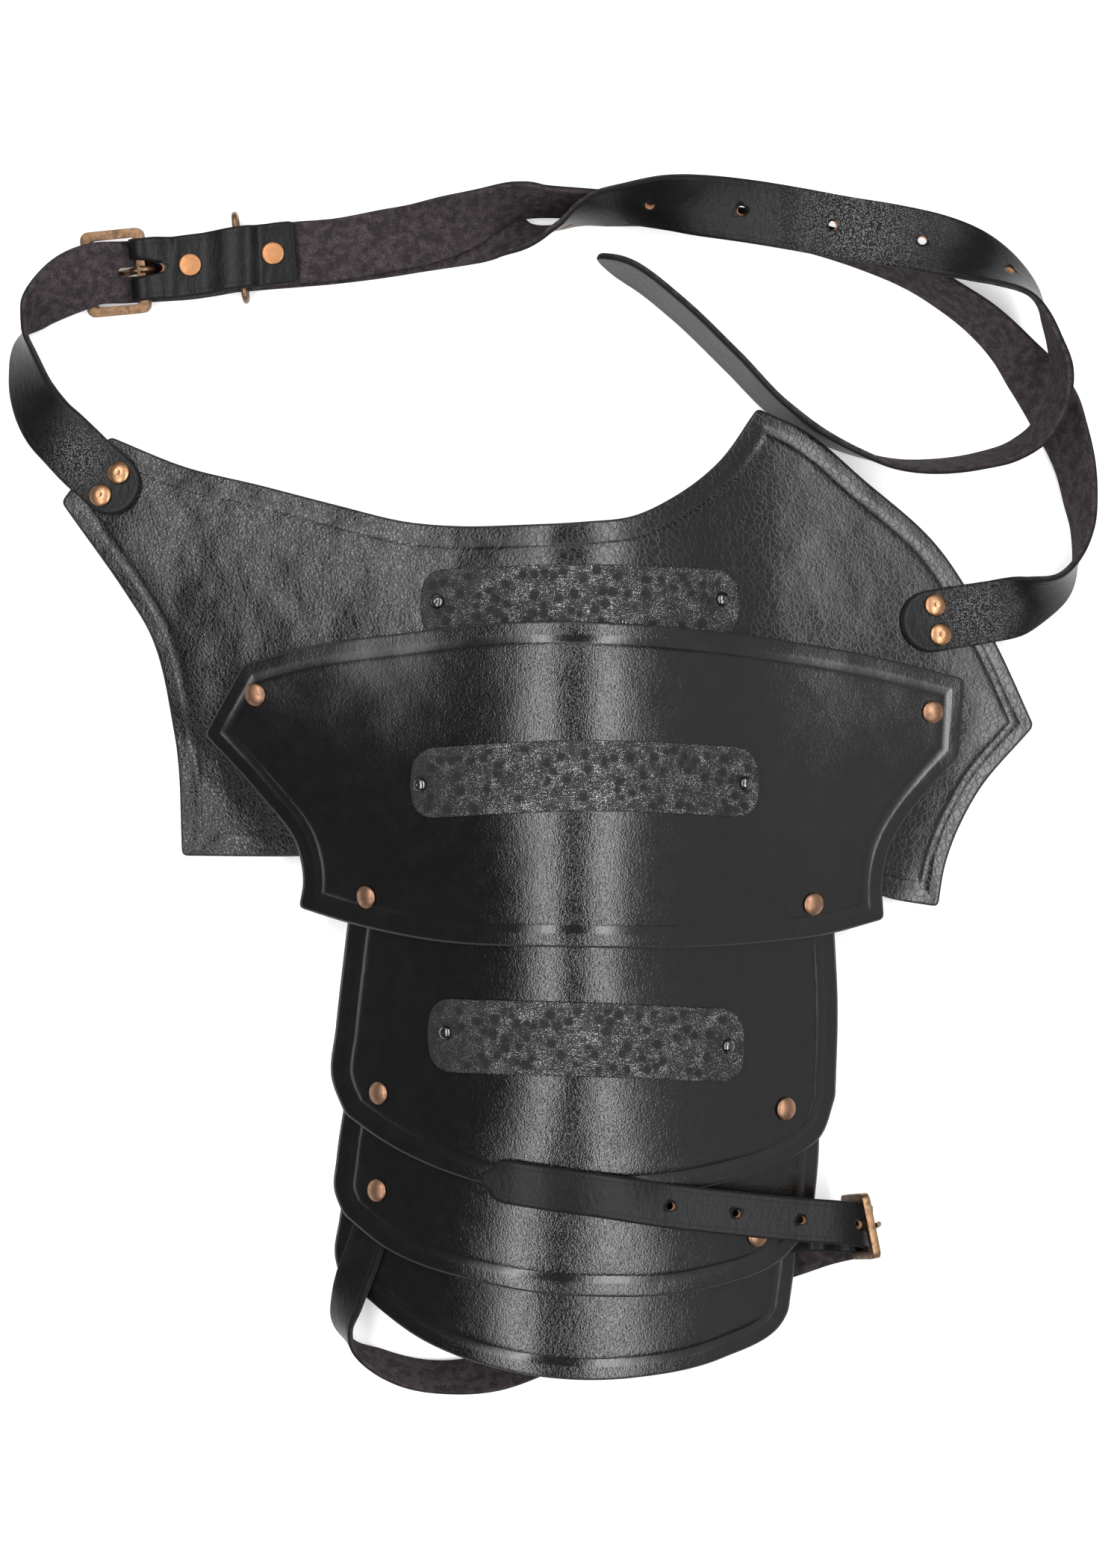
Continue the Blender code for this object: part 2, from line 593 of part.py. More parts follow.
CHEST_BILLET = (
    # x, y, z, roll
    *laid(CHEST_LEATHER / 2 + GAP, 133, (-184, 118), (-192, 128), (-203, 138)),
    (-212, 147, 13.2, -13), (-219, 154, 11.8, -22), (-226, 166, 11, -38), (-229, 177, 11.8, -52),
    (-230, 187, 12.8, -66), (-229, 194, 13.4, -84),
    (-225, 202, 12.8, -112), (-216, 210.5, 12.5, -138), (-207, 216, 12.2, -160),
    (-199, 218.8, 12.2, -174), (-193, 219.6, 9.7, -175), (-188, 220, 7.2, -174),
    (-184, 220.4, 5.8, -174), (-179, 220.8, 4.2, -174), (-170, 221.4, 3.3, -176),
    (-161, 222, 3.2, -178), (-150, 223.5, 3.4, -180), (-140, 225, 4.7, -180),
    (-134, 225.5, 4.6, -180), (-127, 226.3, 3.3, -180), (-119, 227, 2.8, -180),
    (-97, 229, 2.0, -180), (-74, 232, 1.7, -180), (-61, 234, 2.0, -182), (-48, 235.5, 3.2, -188),
    (-32, 236, 6.7, -203), (-24, 235.3, 9.2, -219), (-16, 234.7, 12, -238),
    (-3, 238, 13.5, -262), (5, 241.3, 14.6, -272), (16, 244.4, 18.5, -290),
    (29, 246, 25.2, -300), (44, 246.5, 28.8, -318), (62, 244.8, 31, -336), (79, 242.3, 33.8, -344),
    (98, 238.8, 36.6, -350), (120, 235.5, 32.3, -356), (140, 233, 28.6, -361),
    (160, 229, 28.6, -370), (176, 224, 30, -388), (188, 218, 31, -408), (199, 209, 32.5, -430),
    (205, 198, 34.2, -446), (209, 187, 35.2, -452), (212, 174, 35.2, -460),
    (210, 161, 33.5, -464), (204, 150, 29, -466), (193, 142, 23, -466), (179, 138, 18.5, -465),
    (163, 136, 15.5, -464), (144, 137, 14, -460), (129, 141.5, 13.5, -454),
    (112, 149, 13.5, -447), (95, 160, 13.5, -440), (74, 181, 13.5, -438),
    (50, 204, 13.5, -438), (32, 218, 13.5, -438), (16, 226, 13.5, -440),
)
CHEST_BUCKLE = (
    # x, y, z, roll and, round the buckle, the bearing
    *laid(CHEST_LEATHER / 2 + GAP, 11, (146, 67), (153, 68.5), (161, 70), (176, 72.6),
          (186, 74.2)),
    (195, 76, 11.3, 16), (204, 79, 11.4, 42),
    (215, 85, 12.8, 66), (222, 98, 13.5, 88), (224, 110, 13.2, 101),
    (223, 123, 12.9, 112), (221, 136, 12.5, 119), (217, 149, 11.6, 128), (211, 163, 9.6, 142),
    (203, 175, 10.4, 136), (194, 186, 12.2, 122), (181, 199, 12.8, 115), (167, 209, 13.2, 110),
    (152, 218, 13.4, 108), (131, 227, 13.4, 108), (112, 233, 13.4, 107), (93, 238, 13.4, 107),
    (74, 241, 13.4, 106), (54, 244, 13.4, 106), (35, 246, 13.4, 106), (19, 248, 13.4, 106),
    (4, 249, 13.4, 107), (-10, 249.3, 15, 109), (-19, 248.4, 18.4, 116), (-32, 244, 20.8, 128),
    (-48, 239, 15, 152), (-61, 236, 9.6, 166), (-74, 234, 7, 174), (-96, 230, 6.8, 180),
    (-114, 228.4, 7.6, 180), (-119, 227.8, 7.9, 180), (-128, 226.6, 8, 180), (-140, 225, 8.1, 180),
    (-153, 223.2, 7.9, 180), (-164, 221.8, 7.9, 178), (-173, 221, 7.9, 173, CHEST_BEARING),
    *round_bar(CHEST_BAR, CHEST_WRAP, -90, 90, CHEST_ROLL, CHEST_BEARING),
    (-173, 221, 14.6, 174, 184), (-168, 221.3, 12.2, 176, 182), (-164.5, 221.6, 11.3, 178, 180),
    (-162, 222, 11.2, 180, 180), (-155, 222.9, 11.2, 180, 180), (-152.5, 223.2, 11.3, 180, 180),
    (-148, 223.9, 12.4, 180, 180), (-142.5, 224.7, 14.3, 180, 180), (-133.5, 226, 14.3, 180, 180),
    (-129, 226.6, 11.6, 180, 180), (-127, 226.9, 11.2, 180, 180), (-125, 227.1, 11.2, 180, 180),
    (-120, 227.8, 11.2, 180, 180), (-113, 228.4, 11.2, 180, 180),
)
ARM_BILLET = (
    # x, y, z, roll
    *laid(ARM_STRAP_LIFT, -108, (-74, -163), (-75.5, -174), (-79, -186), (-83, -197),
          (-87, -208)),
    (-91, -220, 14.6, 42), (-93.5, -231, 11.8, 62), (-89, -241, 10.4, 88),
    (-78, -248, 9.5, 112), (-65, -253, 8.9, 122), (-48, -255, 8.3, 128), (-29, -253, 7, 142),
    (-10, -246, 4.6, 160), (16, -234, 1.5, 180), (48, -219, 1.3, 180), (81, -209, 1.3, 180),
    (101, -203, 1.3, 180), (116, -198, 1.6, 180, 12), (126, -195.5, 3.0, 180, 4),
    (131.2, -193.5, 8, 180, 0), (132.3, -191.5, 14, 180, 0), (132.3, -189.5, 20, 180, 0),
    (131.2, -188.2, 25.5, 180, 0), (128, -187, 30.5, 180, 0), (123, -186, 33.6, 180, 0),
    (101, -183.5, 40.5, 180, 0), (74, -180, 47.8, 180, 0), (46, -176, 55.5, 180, 0),
    *laid(ARM_LEATHER / 2 + GAP + 0.1, 0, (24, -172), (15, -170.4), (5, -169), (-5, -167.5),
          (-16, -166), (-33, -164), turn=180),
)
ARM_BUCKLE = (
    # x, y, z, roll and, round the buckle, the bearing
    *laid(ARM_STRAP_LIFT, 0, (74, -191.6), (84, -191.4), (93, -191.3), (101, -191.2),
          (108, -191.1)),
    (113, -191, 11.9, 0), (118, -191, 15.2, 0),
    *round_bar(ARM_BAR, ARM_WRAP, 90, -90, 0, ARM_BEARING),
    (119, -191.4, 9.2, 0, ARM_BEARING), (114, -191.8, 8.4, 0, ARM_BEARING),
)

# ------------------------------------------------------------------ the assembly
holes = {name: [] for name in (*PLATES, *STRIPS)}
lifts = {name: row[1] for name, row in PLATES.items()}
for name, (_, under) in STRIPS.items():
    lifts[name] = lifts[under] + GAP + STRIP


def pierce(plate, x, y, lift, axis, radius):
    """Note a hole in a plate where an axis through (x, y) at this lift passes it."""
    shift = lifts[plate] - lift
    holes[plate].append((x + shift * axis[0], y + shift * axis[1], radius))


def under_rivet(rivet, lift):
    """Point at this lift on the axis of a rivet through the lames."""
    x, y, outermost, _ = rivet
    top, axis = on_surface(x, y, lifts[outermost])
    return top + (lift - lifts[outermost]) * axis


# Rivets through the plates
for number, (x, y, outermost, innermost) in enumerate(LAME_RIVETS, 1):
    lift = lifts[outermost]
    top, axis = on_surface(x, y, lift)
    cap_rivet(f"lame_rivet_{number}", top, axis, lift - lifts[innermost] + PLATE)
    for plate in (outermost, innermost):
        pierce(plate, x, y, lift, axis, HOLE)
for number, (x, y, strip) in enumerate(STRIP_RIVETS, 1):
    lift = lifts[strip]
    top, axis = on_surface(x, y, lift)
    pin_rivet(f"strip_rivet_{number}", top, axis, STRIP + GAP + PLATE)
    pierce(strip, x, y, lift, axis, PIN_HOLE)
    pierce(STRIPS[strip][1], x, y, lift, axis, PIN_HOLE)

# Straps, their buckles and their rivets
chest_billet = course_of(CHEST_BILLET)
chest_buckle = course_of(CHEST_BUCKLE)
arm_billet = course_of(ARM_BILLET)
arm_buckle = course_of(ARM_BUCKLE)

for number, (x, y, z) in enumerate(CHEST_RIVETS, 1):
    course = chest_billet if x < 0 else chest_buckle
    distance, aside = spot(course, (x, y, z))
    middle, axis = place_on(course, distance, aside)
    top = middle + axis * CHEST_LEATHER / 2
    above = (top[2] - float(base_height(top[0], top[1]))) * axis[2]
    cap_rivet(f"chest_rivet_{number}", top, axis, above + PLATE)
    pierce("shoulder_plate", top[0], top[1], above, axis, HOLE)

first, pitch, count = BILLET_HOLES
strap("chest_billet_strap", chest_billet, CHEST_WIDTH, CHEST_LEATHER, (round_end, pointed_end),
      [punched(chest_billet, row, HOLE) for row in CHEST_RIVETS[:2]]
      + [(first + pitch * k, 0, 2.0, 0) for k in range(count)]
      + [slot(chest_billet, (-188.5, 220, 7.4), (-179, 220.8, 4.2), 2.0)])
strap("chest_buckle_strap", chest_buckle, CHEST_WIDTH, CHEST_LEATHER, (round_end, square_end),
      [punched(chest_buckle, row, HOLE) for row in CHEST_RIVETS[2:]]
      + [punched(chest_buckle, (x, y, z), HOLE)
         for x, y, *heights in FOLD_RIVETS for z in heights]
      + [slot(chest_buckle, (-172, 221.1, 7.9), (-171.5, 221.1, 14.0), 2.0)])
strap("arm_billet_strap", arm_billet, ARM_WIDTH, ARM_LEATHER, (square_end, pointed_end),
      [punched(arm_billet, under_rivet(LAME_RIVETS[6], ARM_STRAP_LIFT), HOLE)]
      + [(along, 0, 2.0, 0) for along in ARM_HOLES]
      + [slot(arm_billet, (132.3, -190, 19.3), (129.2, -187.4, 29), 1.8)])
strap("arm_buckle_strap", arm_buckle, ARM_WIDTH, ARM_LEATHER, (square_end, square_end),
      [punched(arm_buckle, under_rivet(LAME_RIVETS[7], ARM_STRAP_LIFT), HOLE)]
      + [slot(arm_buckle, (125, -190.9, 17.9), (119.8, -191.3, 9.3), 1.8)])

# Plates and strips
for name, (sides, lift) in PLATES.items():
    sheet(name, outline_of(sides), lift, PLATE, "plate_leather", holes[name])
for name, (shape, _) in STRIPS.items():
    sheet(name, strip_outline(*shape), lifts[name], STRIP, "steel", holes[name])


# Buckles
def frame_corners(heel, toe, half, bearing, roll):
    """Middles of a buckle frame's four corners, and the direction that it faces."""
    across = width_direction(bearing, roll)
    heel, toe = np.array(heel), np.array(toe)
    corners = (heel - half * across, heel + half * across, toe + half * across,
               toe - half * across)
    return corners, np.cross(across, toe - heel)


corners, facing_way = frame_corners(CHEST_BAR, CHEST_TOE, CHEST_BAR_HALF, CHEST_BEARING,
                                    CHEST_ROLL)
wire("chest_buckle_frame", rounded_loop(corners, (2.6, 2.6, 5, 5)), WIRE, facing_way, closed=True)
corners, facing_way = frame_corners(ARM_BAR, ARM_TOE, ARM_BAR_HALF, ARM_BEARING, 0)
wire("arm_buckle_frame", rounded_loop(corners, (2.6, 2.6, 4, 4)), ARM_WIRE, facing_way, closed=True)

x, y, z = CHEST_BAR
curl = round_bar(CHEST_BAR, CHEST_WRAP, 80, 270, CHEST_ROLL, CHEST_BEARING, 6)
pin = ((x - 2.6, y, z - 4.0), (x - 4.6, y, z - 5.0), (x - 6.2, y - 0.2, z - 7.2),
       (x - 8.0, y - 0.4, z - 9.3), (x - 11, y - 0.7, z - 10.1), (x - 27, y - 2, z - 10.1))
wire("chest_prong", [*(row[:3] for row in curl), *pin], PRONG, (0, 1, 0))
x, y, z = ARM_BAR
curl = round_bar(ARM_BAR, 3.4, 185, 360, 0, ARM_BEARING, 6)
pin = ((x + 3.9, y + 0.7, z + 4), (x + 5.0, y + 1.8, z + 8), (x + 7.2, y + 2.6, z + 12),
       (x + 9.6, y + 3.8, z + 16), (x + 10.2, y + 4.8, z + 20), (x + 9.7, y + 5.6, z + 24))
wire("arm_prong", [*(row[:3] for row in curl), *pin], ARM_PRONG, (0, 1, 0))
wire("keeper_ring", rounded_loop(((-135, 208, 1.5), (-140, 245, 1.5), (-140, 245, 11.1),
                                  (-135, 208, 11.1)), (4.5,) * 4), 1.4, (37, 5, 0), closed=True)

# Rivets that hold the two folds
for number, (x, y, fold, under) in enumerate(FOLD_RIVETS, 1):
    middle, axis = place_on(chest_buckle, *spot(chest_buckle, (x, y, fold)))
    flat_rivet(f"fold_rivet_{number}", middle + axis * CHEST_LEATHER / 2, axis,
               fold - under + CHEST_LEATHER)
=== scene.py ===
# %% [markdown]
# # A leather pauldron, dressed for its portrait
#
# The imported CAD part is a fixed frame: it knows where each plate, strap and rivet is.
# This lesson puts a detailed piece over each solid. The leather is built from the same
# tables as the CAD, because a sheet that is cut flat and bent keeps its thickness, and
# the metal is modelled with Blender's own tools, as by hand.

# %% Load the frame
import math

import bmesh
import bpy
import numpy as np
from mathutils import Matrix, Vector, noise
from mathutils.geometry import delaunay_2d_cdt


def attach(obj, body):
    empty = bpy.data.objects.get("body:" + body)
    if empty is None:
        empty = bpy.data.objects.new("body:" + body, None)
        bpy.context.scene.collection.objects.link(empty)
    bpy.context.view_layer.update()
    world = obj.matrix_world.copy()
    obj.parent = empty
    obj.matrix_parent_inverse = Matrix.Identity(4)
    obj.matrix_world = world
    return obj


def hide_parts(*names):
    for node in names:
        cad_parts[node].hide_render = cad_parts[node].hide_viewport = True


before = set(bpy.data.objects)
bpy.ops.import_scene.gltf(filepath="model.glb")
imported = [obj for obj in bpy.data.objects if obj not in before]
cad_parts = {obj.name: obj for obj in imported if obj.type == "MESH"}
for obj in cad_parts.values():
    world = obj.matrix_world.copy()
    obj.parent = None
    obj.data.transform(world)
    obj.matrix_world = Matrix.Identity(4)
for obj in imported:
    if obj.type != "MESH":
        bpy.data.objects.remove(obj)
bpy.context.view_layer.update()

# %% [markdown]
# ## Camera, floor and light
#
# The pauldron lies on a table and is seen from straight above, at 1.6 m. A long lens keeps
# the straps in scale with the plates. Glossy black leather is drawn by what it reflects. A
# long softbox on each side of the ridge gives the two bright bands, fainter ones further
# out soften the bands' outer edges, and the dark gap between them draws the crest. The
# table glows a little, as a light table does, so that shadows on it stay faint.

# %% Camera, floor and light
MM = 0.001
ORIGIN = np.array((-4.6, -2.0, 0.0))     # the CAD's origin in the tables' coordinates
CAMERA_HEIGHT = 1.6
VIEW_LENGTH = 0.6774                     # of the table, from the view's bottom to its top
CAMERA_PLACE = (0.0046, 0.0020, CAMERA_HEIGHT)
TABLE_DROP = 0.0006                      # the table lies this far under the CAD's ground

camera_data = bpy.data.cameras.new("camera")
camera_data.lens = camera_data.sensor_width * CAMERA_HEIGHT / VIEW_LENGTH
camera = bpy.data.objects.new("camera", camera_data)
camera.location = CAMERA_PLACE
bpy.context.collection.objects.link(camera)
bpy.context.scene.camera = camera
bpy.context.scene.view_settings.view_transform = "Standard"

SOFTBOXES = (
    # name, place, size along and across, watts
    ("left_softbox", (-0.62, 0, 1.5), (2.8, 0.32), 32),
    ("left_spill", (-0.99, 0, 1.5), (2.8, 0.42), 11),
    ("right_softbox", (0.70, 0, 1.5), (2.8, 0.34), 32),
    ("right_spill", (1.00, 0, 1.5), (2.8, 0.26), 11),
    ("right_wall", (1.53, 0, 1.5), (2.8, 0.80), 3.5),
    ("right_fill", (1.9, 0, 0.75), (2.5, 1.0), 4),
    ("neck_softbox", (-0.1, 1.15, 1.35), (1.6, 0.5), 5),
)
for name, place, size, watts in SOFTBOXES:
    light = bpy.data.lights.new(name, "AREA")
    light.shape = "RECTANGLE"
    light.size, light.size_y = size
    light.energy = watts
    lamp = bpy.data.objects.new(name, light)
    lamp.location = place
    lamp.rotation_euler = (-Vector(place)).to_track_quat("-Z", "Y").to_euler()
    bpy.context.collection.objects.link(lamp)

bpy.ops.object.select_all(action="DESELECT")
bpy.ops.mesh.primitive_plane_add(size=8, location=(0, 0, -TABLE_DROP))
floor = bpy.context.object
floor.name = "floor"
print(len(SOFTBOXES), "softboxes and a table")

# %% [markdown]
# ## Shader sums written as sums
#
# A finish here is mostly arithmetic on patterns: how deep a crease is, how worn a head is.
# Drawing Math nodes one by one hides that, so a small class wraps a socket, and Python's
# own operators add the nodes. One method makes every other kind of node.

# %% A class for sockets
class Value:
    """An output of a node. Arithmetic on it adds Math nodes."""

    def __init__(self, finish, socket):
        self.finish = finish
        self.socket = socket

    def maths(self, operation, *terms):
        return self.finish.node("Math", {"operation": operation}, *terms)

    def __add__(self, other):
        return self.maths("ADD", self, other)

    def __radd__(self, other):
        return self.maths("ADD", other, self)

    def __sub__(self, other):
        return self.maths("SUBTRACT", self, other)

    def __rsub__(self, other):
        return self.maths("SUBTRACT", other, self)

    def __mul__(self, other):
        return self.maths("MULTIPLY", self, other)

    def __pow__(self, other):
        return self.maths("POWER", self, other)

    def rise(self, low, high):
        """0 below low, 1 above high and smooth between; falls where low is above high."""
        if low > high:
            return 1 - self.rise(high, low)
        return self.finish.node("MapRange", {"interpolation_type": "SMOOTHSTEP"}, self, low, high)


# %% A class for finishes, and the table's
class Finish:
    """A material whose nodes are made by calls and sums."""

    def __init__(self, name):
        self.material = bpy.data.materials.new(name)
        self.material.use_nodes = True
        self.tree = self.material.node_tree
        self.shader = self.tree.nodes["Principled BSDF"]
        self.place = self.node("TexCoord", {}, out="Object")

    def put(self, socket, value):
        """Link a value to a socket, or set the socket to a number or a colour."""
        if isinstance(value, Value):
            self.tree.links.new(value.socket, socket)
        else:
            socket.default_value = value

    def node(self, kind, settings, *values, out=0, **named):
        """A node of this kind: settings first, then inputs by order or by name."""
        made = self.tree.nodes.new("ShaderNode" + kind)
        for setting, value in settings.items():
            setattr(made, setting, value)
        for socket, value in zip(made.inputs, values):
            self.put(socket, value)
        for label, value in named.items():
            self.put(made.inputs[label.replace("_", " ")], value)
        return Value(self, made.outputs[out])

    def surface(self, **inputs):
        """Set or link inputs of the material's Principled shader."""
        for label, value in inputs.items():
            self.put(self.shader.inputs[label.replace("_", " ")], value)

    def attribute(self, name):
        """What a piece's points carry under this name."""
        return self.node("Attribute", {"attribute_name": name}, out="Fac")

    def stretched(self, place, scale, turn=0.0):
        """The pattern's place, turned about Z and stretched."""
        return self.node("Mapping", {}, place, Scale=scale, Rotation=(0, 0, turn))

    def speckle(self, place, size, detail=2.0, rough=0.5):
        """Noise whose features are about this many metres."""
        return self.node("TexNoise", {}, Vector=place, Scale=1 / size, Detail=detail,
                         Roughness=rough)

    def warped(self, place, size, reach):
        """Places pushed about by as much as reach."""
        push = self.node("TexNoise", {}, Vector=place, Scale=1 / size, Detail=2.0, out="Color")
        centred = self.node("VectorMath", {"operation": "SUBTRACT"}, push, (0.5, 0.5, 0.5))
        return self.node("VectorMath", {"operation": "MULTIPLY_ADD"}, centred,
                         (reach, reach, reach), place)

    def cells(self, place, size, feature="DISTANCE_TO_EDGE"):
        """Cells of about this many metres: distance to their edges, or with F1 to their middles."""
        return self.node("TexVoronoi", {"feature": feature}, Vector=place, Scale=1 / size,
                         out="Distance")

    def blend(self, share, first, second):
        """Colours mixed by share."""
        return self.node("MixRGB", {}, share, first, second)

    def relief(self, height):
        """A bump whose height is in millimetres."""
        return self.node("Bump", {}, Strength=1.0, Distance=MM, Height=height)


floor_finish = Finish("pale_table")
floor_finish.surface(Base_Color=(0.76, 0.76, 0.76, 1), Roughness=0.9,
                     Emission_Color=(1, 1, 1, 1), Emission_Strength=0.3)
floor.data.materials.append(floor_finish.material)
print("table:", len(floor_finish.tree.nodes), "nodes")

# %% [markdown]
# ## Leather
#
# The grain side of the plates is black, waxed and glossy. Its relief comes in three sizes:
# pebbles of about a millimetre with creases among them, a finer grain on top, and
# broad patches where the leather was stretched more or less. The creases are darkened
# with painted shade. Cell patterns give the finer two: distance to a cell's middle makes a
# pebble, and distance to its edge a crease. The flesh side is matt and fibrous, so each sheet
# carries an attribute, flesh, for where it is, another, depth, for how far from the cut edge
# a point is, and raw for the punched holes, where no dye reached. A fourth, lively, says
# where bending or rubbing has raised the grain; on the straps the tops of lively grain also
# get a painted highlight. The gloss is the main layer's own and not a coat's, because a
# coat stays smooth over the relief.

# %% The leather's finish
GRAIN_BLACK = (0.0036, 0.0035, 0.0037, 1)
# painted shade for the creases
PAINTED_CREASE_SHADE = (0.0012, 0.0012, 0.0012, 1)
WORN_BLACK = (0.0085, 0.0080, 0.0084, 1)
# painted highlight for the tops of lively grain
PAINTED_HIGHLIGHT_GREY = (0.11, 0.108, 0.11, 1)
FLESH_BROWN = (0.0125, 0.0100, 0.0120, 1)
FLESH_FIBRE = (0.080, 0.064, 0.068, 1)
RAW_TAN = (0.36, 0.17, 0.08, 1)
CHANNEL = (5.6, 9.0)                     # the tooled channel, in mm from the cut edge


def leather(name, pebble, deep, cracked, wrinkles, swell, gloss, rubbed, shine, paling):
    """Black leather, waxed. pebble is the size of its grain in mm; deep, cracked, wrinkles and
    swell are how deep its grain, creases, folds and hollows go; gloss is the roughness of
    its wax, rubbed how much smoother that is where the grain is lively, and shine how much
    of it there is; the last argument is how much a painted highlight pales the tops of
    lively grain. The creases are darkened with painted shade."""
    made = Finish(name)
    depth = made.attribute("depth")
    flesh = made.attribute("flesh")
    raw = made.attribute("raw")
    lively = made.attribute("lively")

    # patterns
    size = pebble * MM
    pushed = made.warped(made.warped(made.place, 2.3 * size, 1.2 * size), 0.6 * size, 0.45 * size)
    pebbles = made.cells(pushed, size, "F1")
    small = made.cells(pushed, 0.45 * size, "F1")
    pulled = made.warped(made.warped(made.place, 5.0 * MM, 2.0 * MM), 0.7 * MM, 0.22 * MM)
    there = made.speckle(made.place, 4 * MM, 3.0, 0.6).rise(0.2, 0.5)
    close = made.cells(pulled, 1.6 * MM).rise(0.16, 0.03) * lively * 1.4
    wide = made.cells(pulled, 2.8 * MM).rise(0.10, 0.02) * (1 - lively)
    crack = (close + wide * 0.6) * there * cracked
    patch = made.speckle(made.place, 14 * MM, 3.0, 0.6)
    cloud = made.speckle(made.place, 34 * MM, 2.0, 0.5)

    # where the grain is strong, and where it is pressed flat
    begin, end = CHANNEL
    tooled = depth.rise(begin - 0.4, begin + 0.6) * depth.rise(end + 0.3, end)
    edge = depth.rise(1.1, 0.4)
    strength = (0.24 + lively) * (0.6 + patch * 0.8) * (1 - tooled * 0.7)
    valley = pebbles.rise(0.45, 0.8)
    crease = made.node("Clamp", {}, valley * strength * 0.4 + crack)

    # fine and broad unevenness, and the fibres of the flesh side
    dust = made.speckle(made.place, 0.4 * MM, 3.0, 0.6)
    broad = made.speckle(made.place, 7 * MM, 3.0, 0.55)
    folds = made.speckle(made.stretched(made.place, (1.4, 0.6, 1.0), 0.3), 2.6 * MM, 3.0, 0.6)
    fibre = made.speckle(made.place, 0.5 * MM, 5.0, 0.75)
    nap = made.speckle(made.place, 3.5 * MM, 4.0, 0.6)

    # heights in mm
    relief = (pebbles ** 2 * -deep - small * 0.02 + folds * wrinkles) * strength
    swollen = (cloud * 2.2 + patch * 0.25) * (0.15 + lively) * swell
    grain_height = relief - crack * 0.05 + dust * 0.008 + broad * 0.1 + swollen
    flesh_height = fibre * 0.35 + nap * 0.25
    height = grain_height * (1 - flesh) + flesh_height * flesh

    # colours
    grain = made.blend(broad.rise(0.3, 0.8) * 0.35, GRAIN_BLACK, WORN_BLACK)
    # painted shade: the creases are darkened as if shade lay in them
    grain = made.blend(crease.rise(0.0, 0.6) * 0.85, grain, PAINTED_CREASE_SHADE)
    grain = made.blend(depth.rise(0.7, 0.0) * 0.25, grain, WORN_BLACK)
    hairs = fibre.rise(0.35, 0.7) * (0.2 + nap.rise(0.35, 0.65) * 0.8)
    under = made.blend(hairs, FLESH_BROWN, FLESH_FIBRE)
    # painted highlight: pale grey on the tops of the pebbles where the grain is lively
    grain = made.blend(lively * pebbles.rise(0.55, 0.2) * paling, grain, PAINTED_HIGHLIGHT_GREY)
    colour = made.blend(flesh, grain, under)
    colour = made.blend(raw, colour, RAW_TAN)

    # roughness
    waxed = gloss - lively * rubbed + dust * 0.04 + patch * 0.06 + crease * 0.3
    waxed = waxed + edge * 0.45 + tooled * 0.05
    rough = made.node("Clamp", {}, waxed * (1 - flesh) + flesh * 0.95 + raw * 0.6)
    made.surface(Base_Color=colour, Roughness=rough, Normal=made.relief(height),
                 Specular_IOR_Level=shine)
    return made.material


wing_leather = leather("wing_leather", pebble=1.2, deep=0.16, cracked=0.9, wrinkles=0.05,
                       swell=2.0, gloss=0.13, rubbed=0.05, shine=0.40, paling=0.0)
lame_leather = leather("lame_leather", pebble=0.8, deep=0.08, cracked=0.12, wrinkles=0.09,
                       swell=0.02, gloss=0.11, rubbed=0.06, shine=0.50, paling=0.0)
# the straps' lively grain is paled with a painted highlight
strap_leather = leather("strap_leather", pebble=0.7, deep=0.16, cracked=0.0, wrinkles=0.7,
                        swell=0.2, gloss=0.30, rubbed=0.22, shine=0.13, paling=1.0)
print("leathers of", len(wing_leather.node_tree.nodes), "nodes each")

# %% [markdown]
# ## Metal
#
# The strips are mild steel, blackened and then brushed, so that fine bright grit shows on
# the high parts and the hammer marks stay dark. The rivets' caps are copper that has
# browned, and the buckles are antique brass.

# %% The metals' finishes
def hammered_steel():
    """Black steel with bright grit between the blows, and less of it towards each strip's left end,
    where the steel is made darker.
    """
    made = Finish("hammered_steel")
    blow = made.attribute("blow")
    faded = made.attribute("faded")
    grit = made.speckle(made.place, 0.42 * MM, 2.0, 0.6)
    cloud = made.speckle(made.place, 6 * MM, 3.0, 0.6)
    lines = made.speckle(made.stretched(made.place, (0.06, 1.6, 1.0)), 0.5 * MM, 3.0, 0.6)
    shown = (1 - blow * 0.9) * (1 - faded * 0.75)
    bright = (grit + lines * 0.3 + cloud * 0.3).rise(0.85, 1.03) * shown
    colour = made.blend(bright, (0.030, 0.029, 0.029, 1), (0.42, 0.41, 0.405, 1))
    rough = 0.68 - bright * 0.16 + blow * 0.1
    made.surface(Base_Color=colour, Roughness=rough, Metallic=1.0,
                 Normal=made.relief(grit * 0.12 + lines * 0.05))
    return made.material


def tarnished(name, clean, brown, rough, grime, scale=3.0):
    """A coloured metal that has browned in patches of about scale mm. grime is how much."""
    made = Finish(name)
    cloud = made.speckle(made.place, scale * MM, 4.0, 0.65)
    grain = made.speckle(made.place, 0.35 * MM, 2.0, 0.5)
    lines = made.speckle(made.stretched(made.place, (0.1, 1.0, 1.0), 0.6), 0.3 * MM, 2.0, 0.5)
    brownness = cloud.rise(0.35, 0.75) * grime + grain * 0.15
    made.surface(Base_Color=made.blend(brownness, (*clean, 1), (*brown, 1)), Metallic=1.0,
                 Roughness=rough + brownness * 0.2 + lines * 0.06,
                 Normal=made.relief(grain * 0.02 + lines * 0.02))
    return made.material


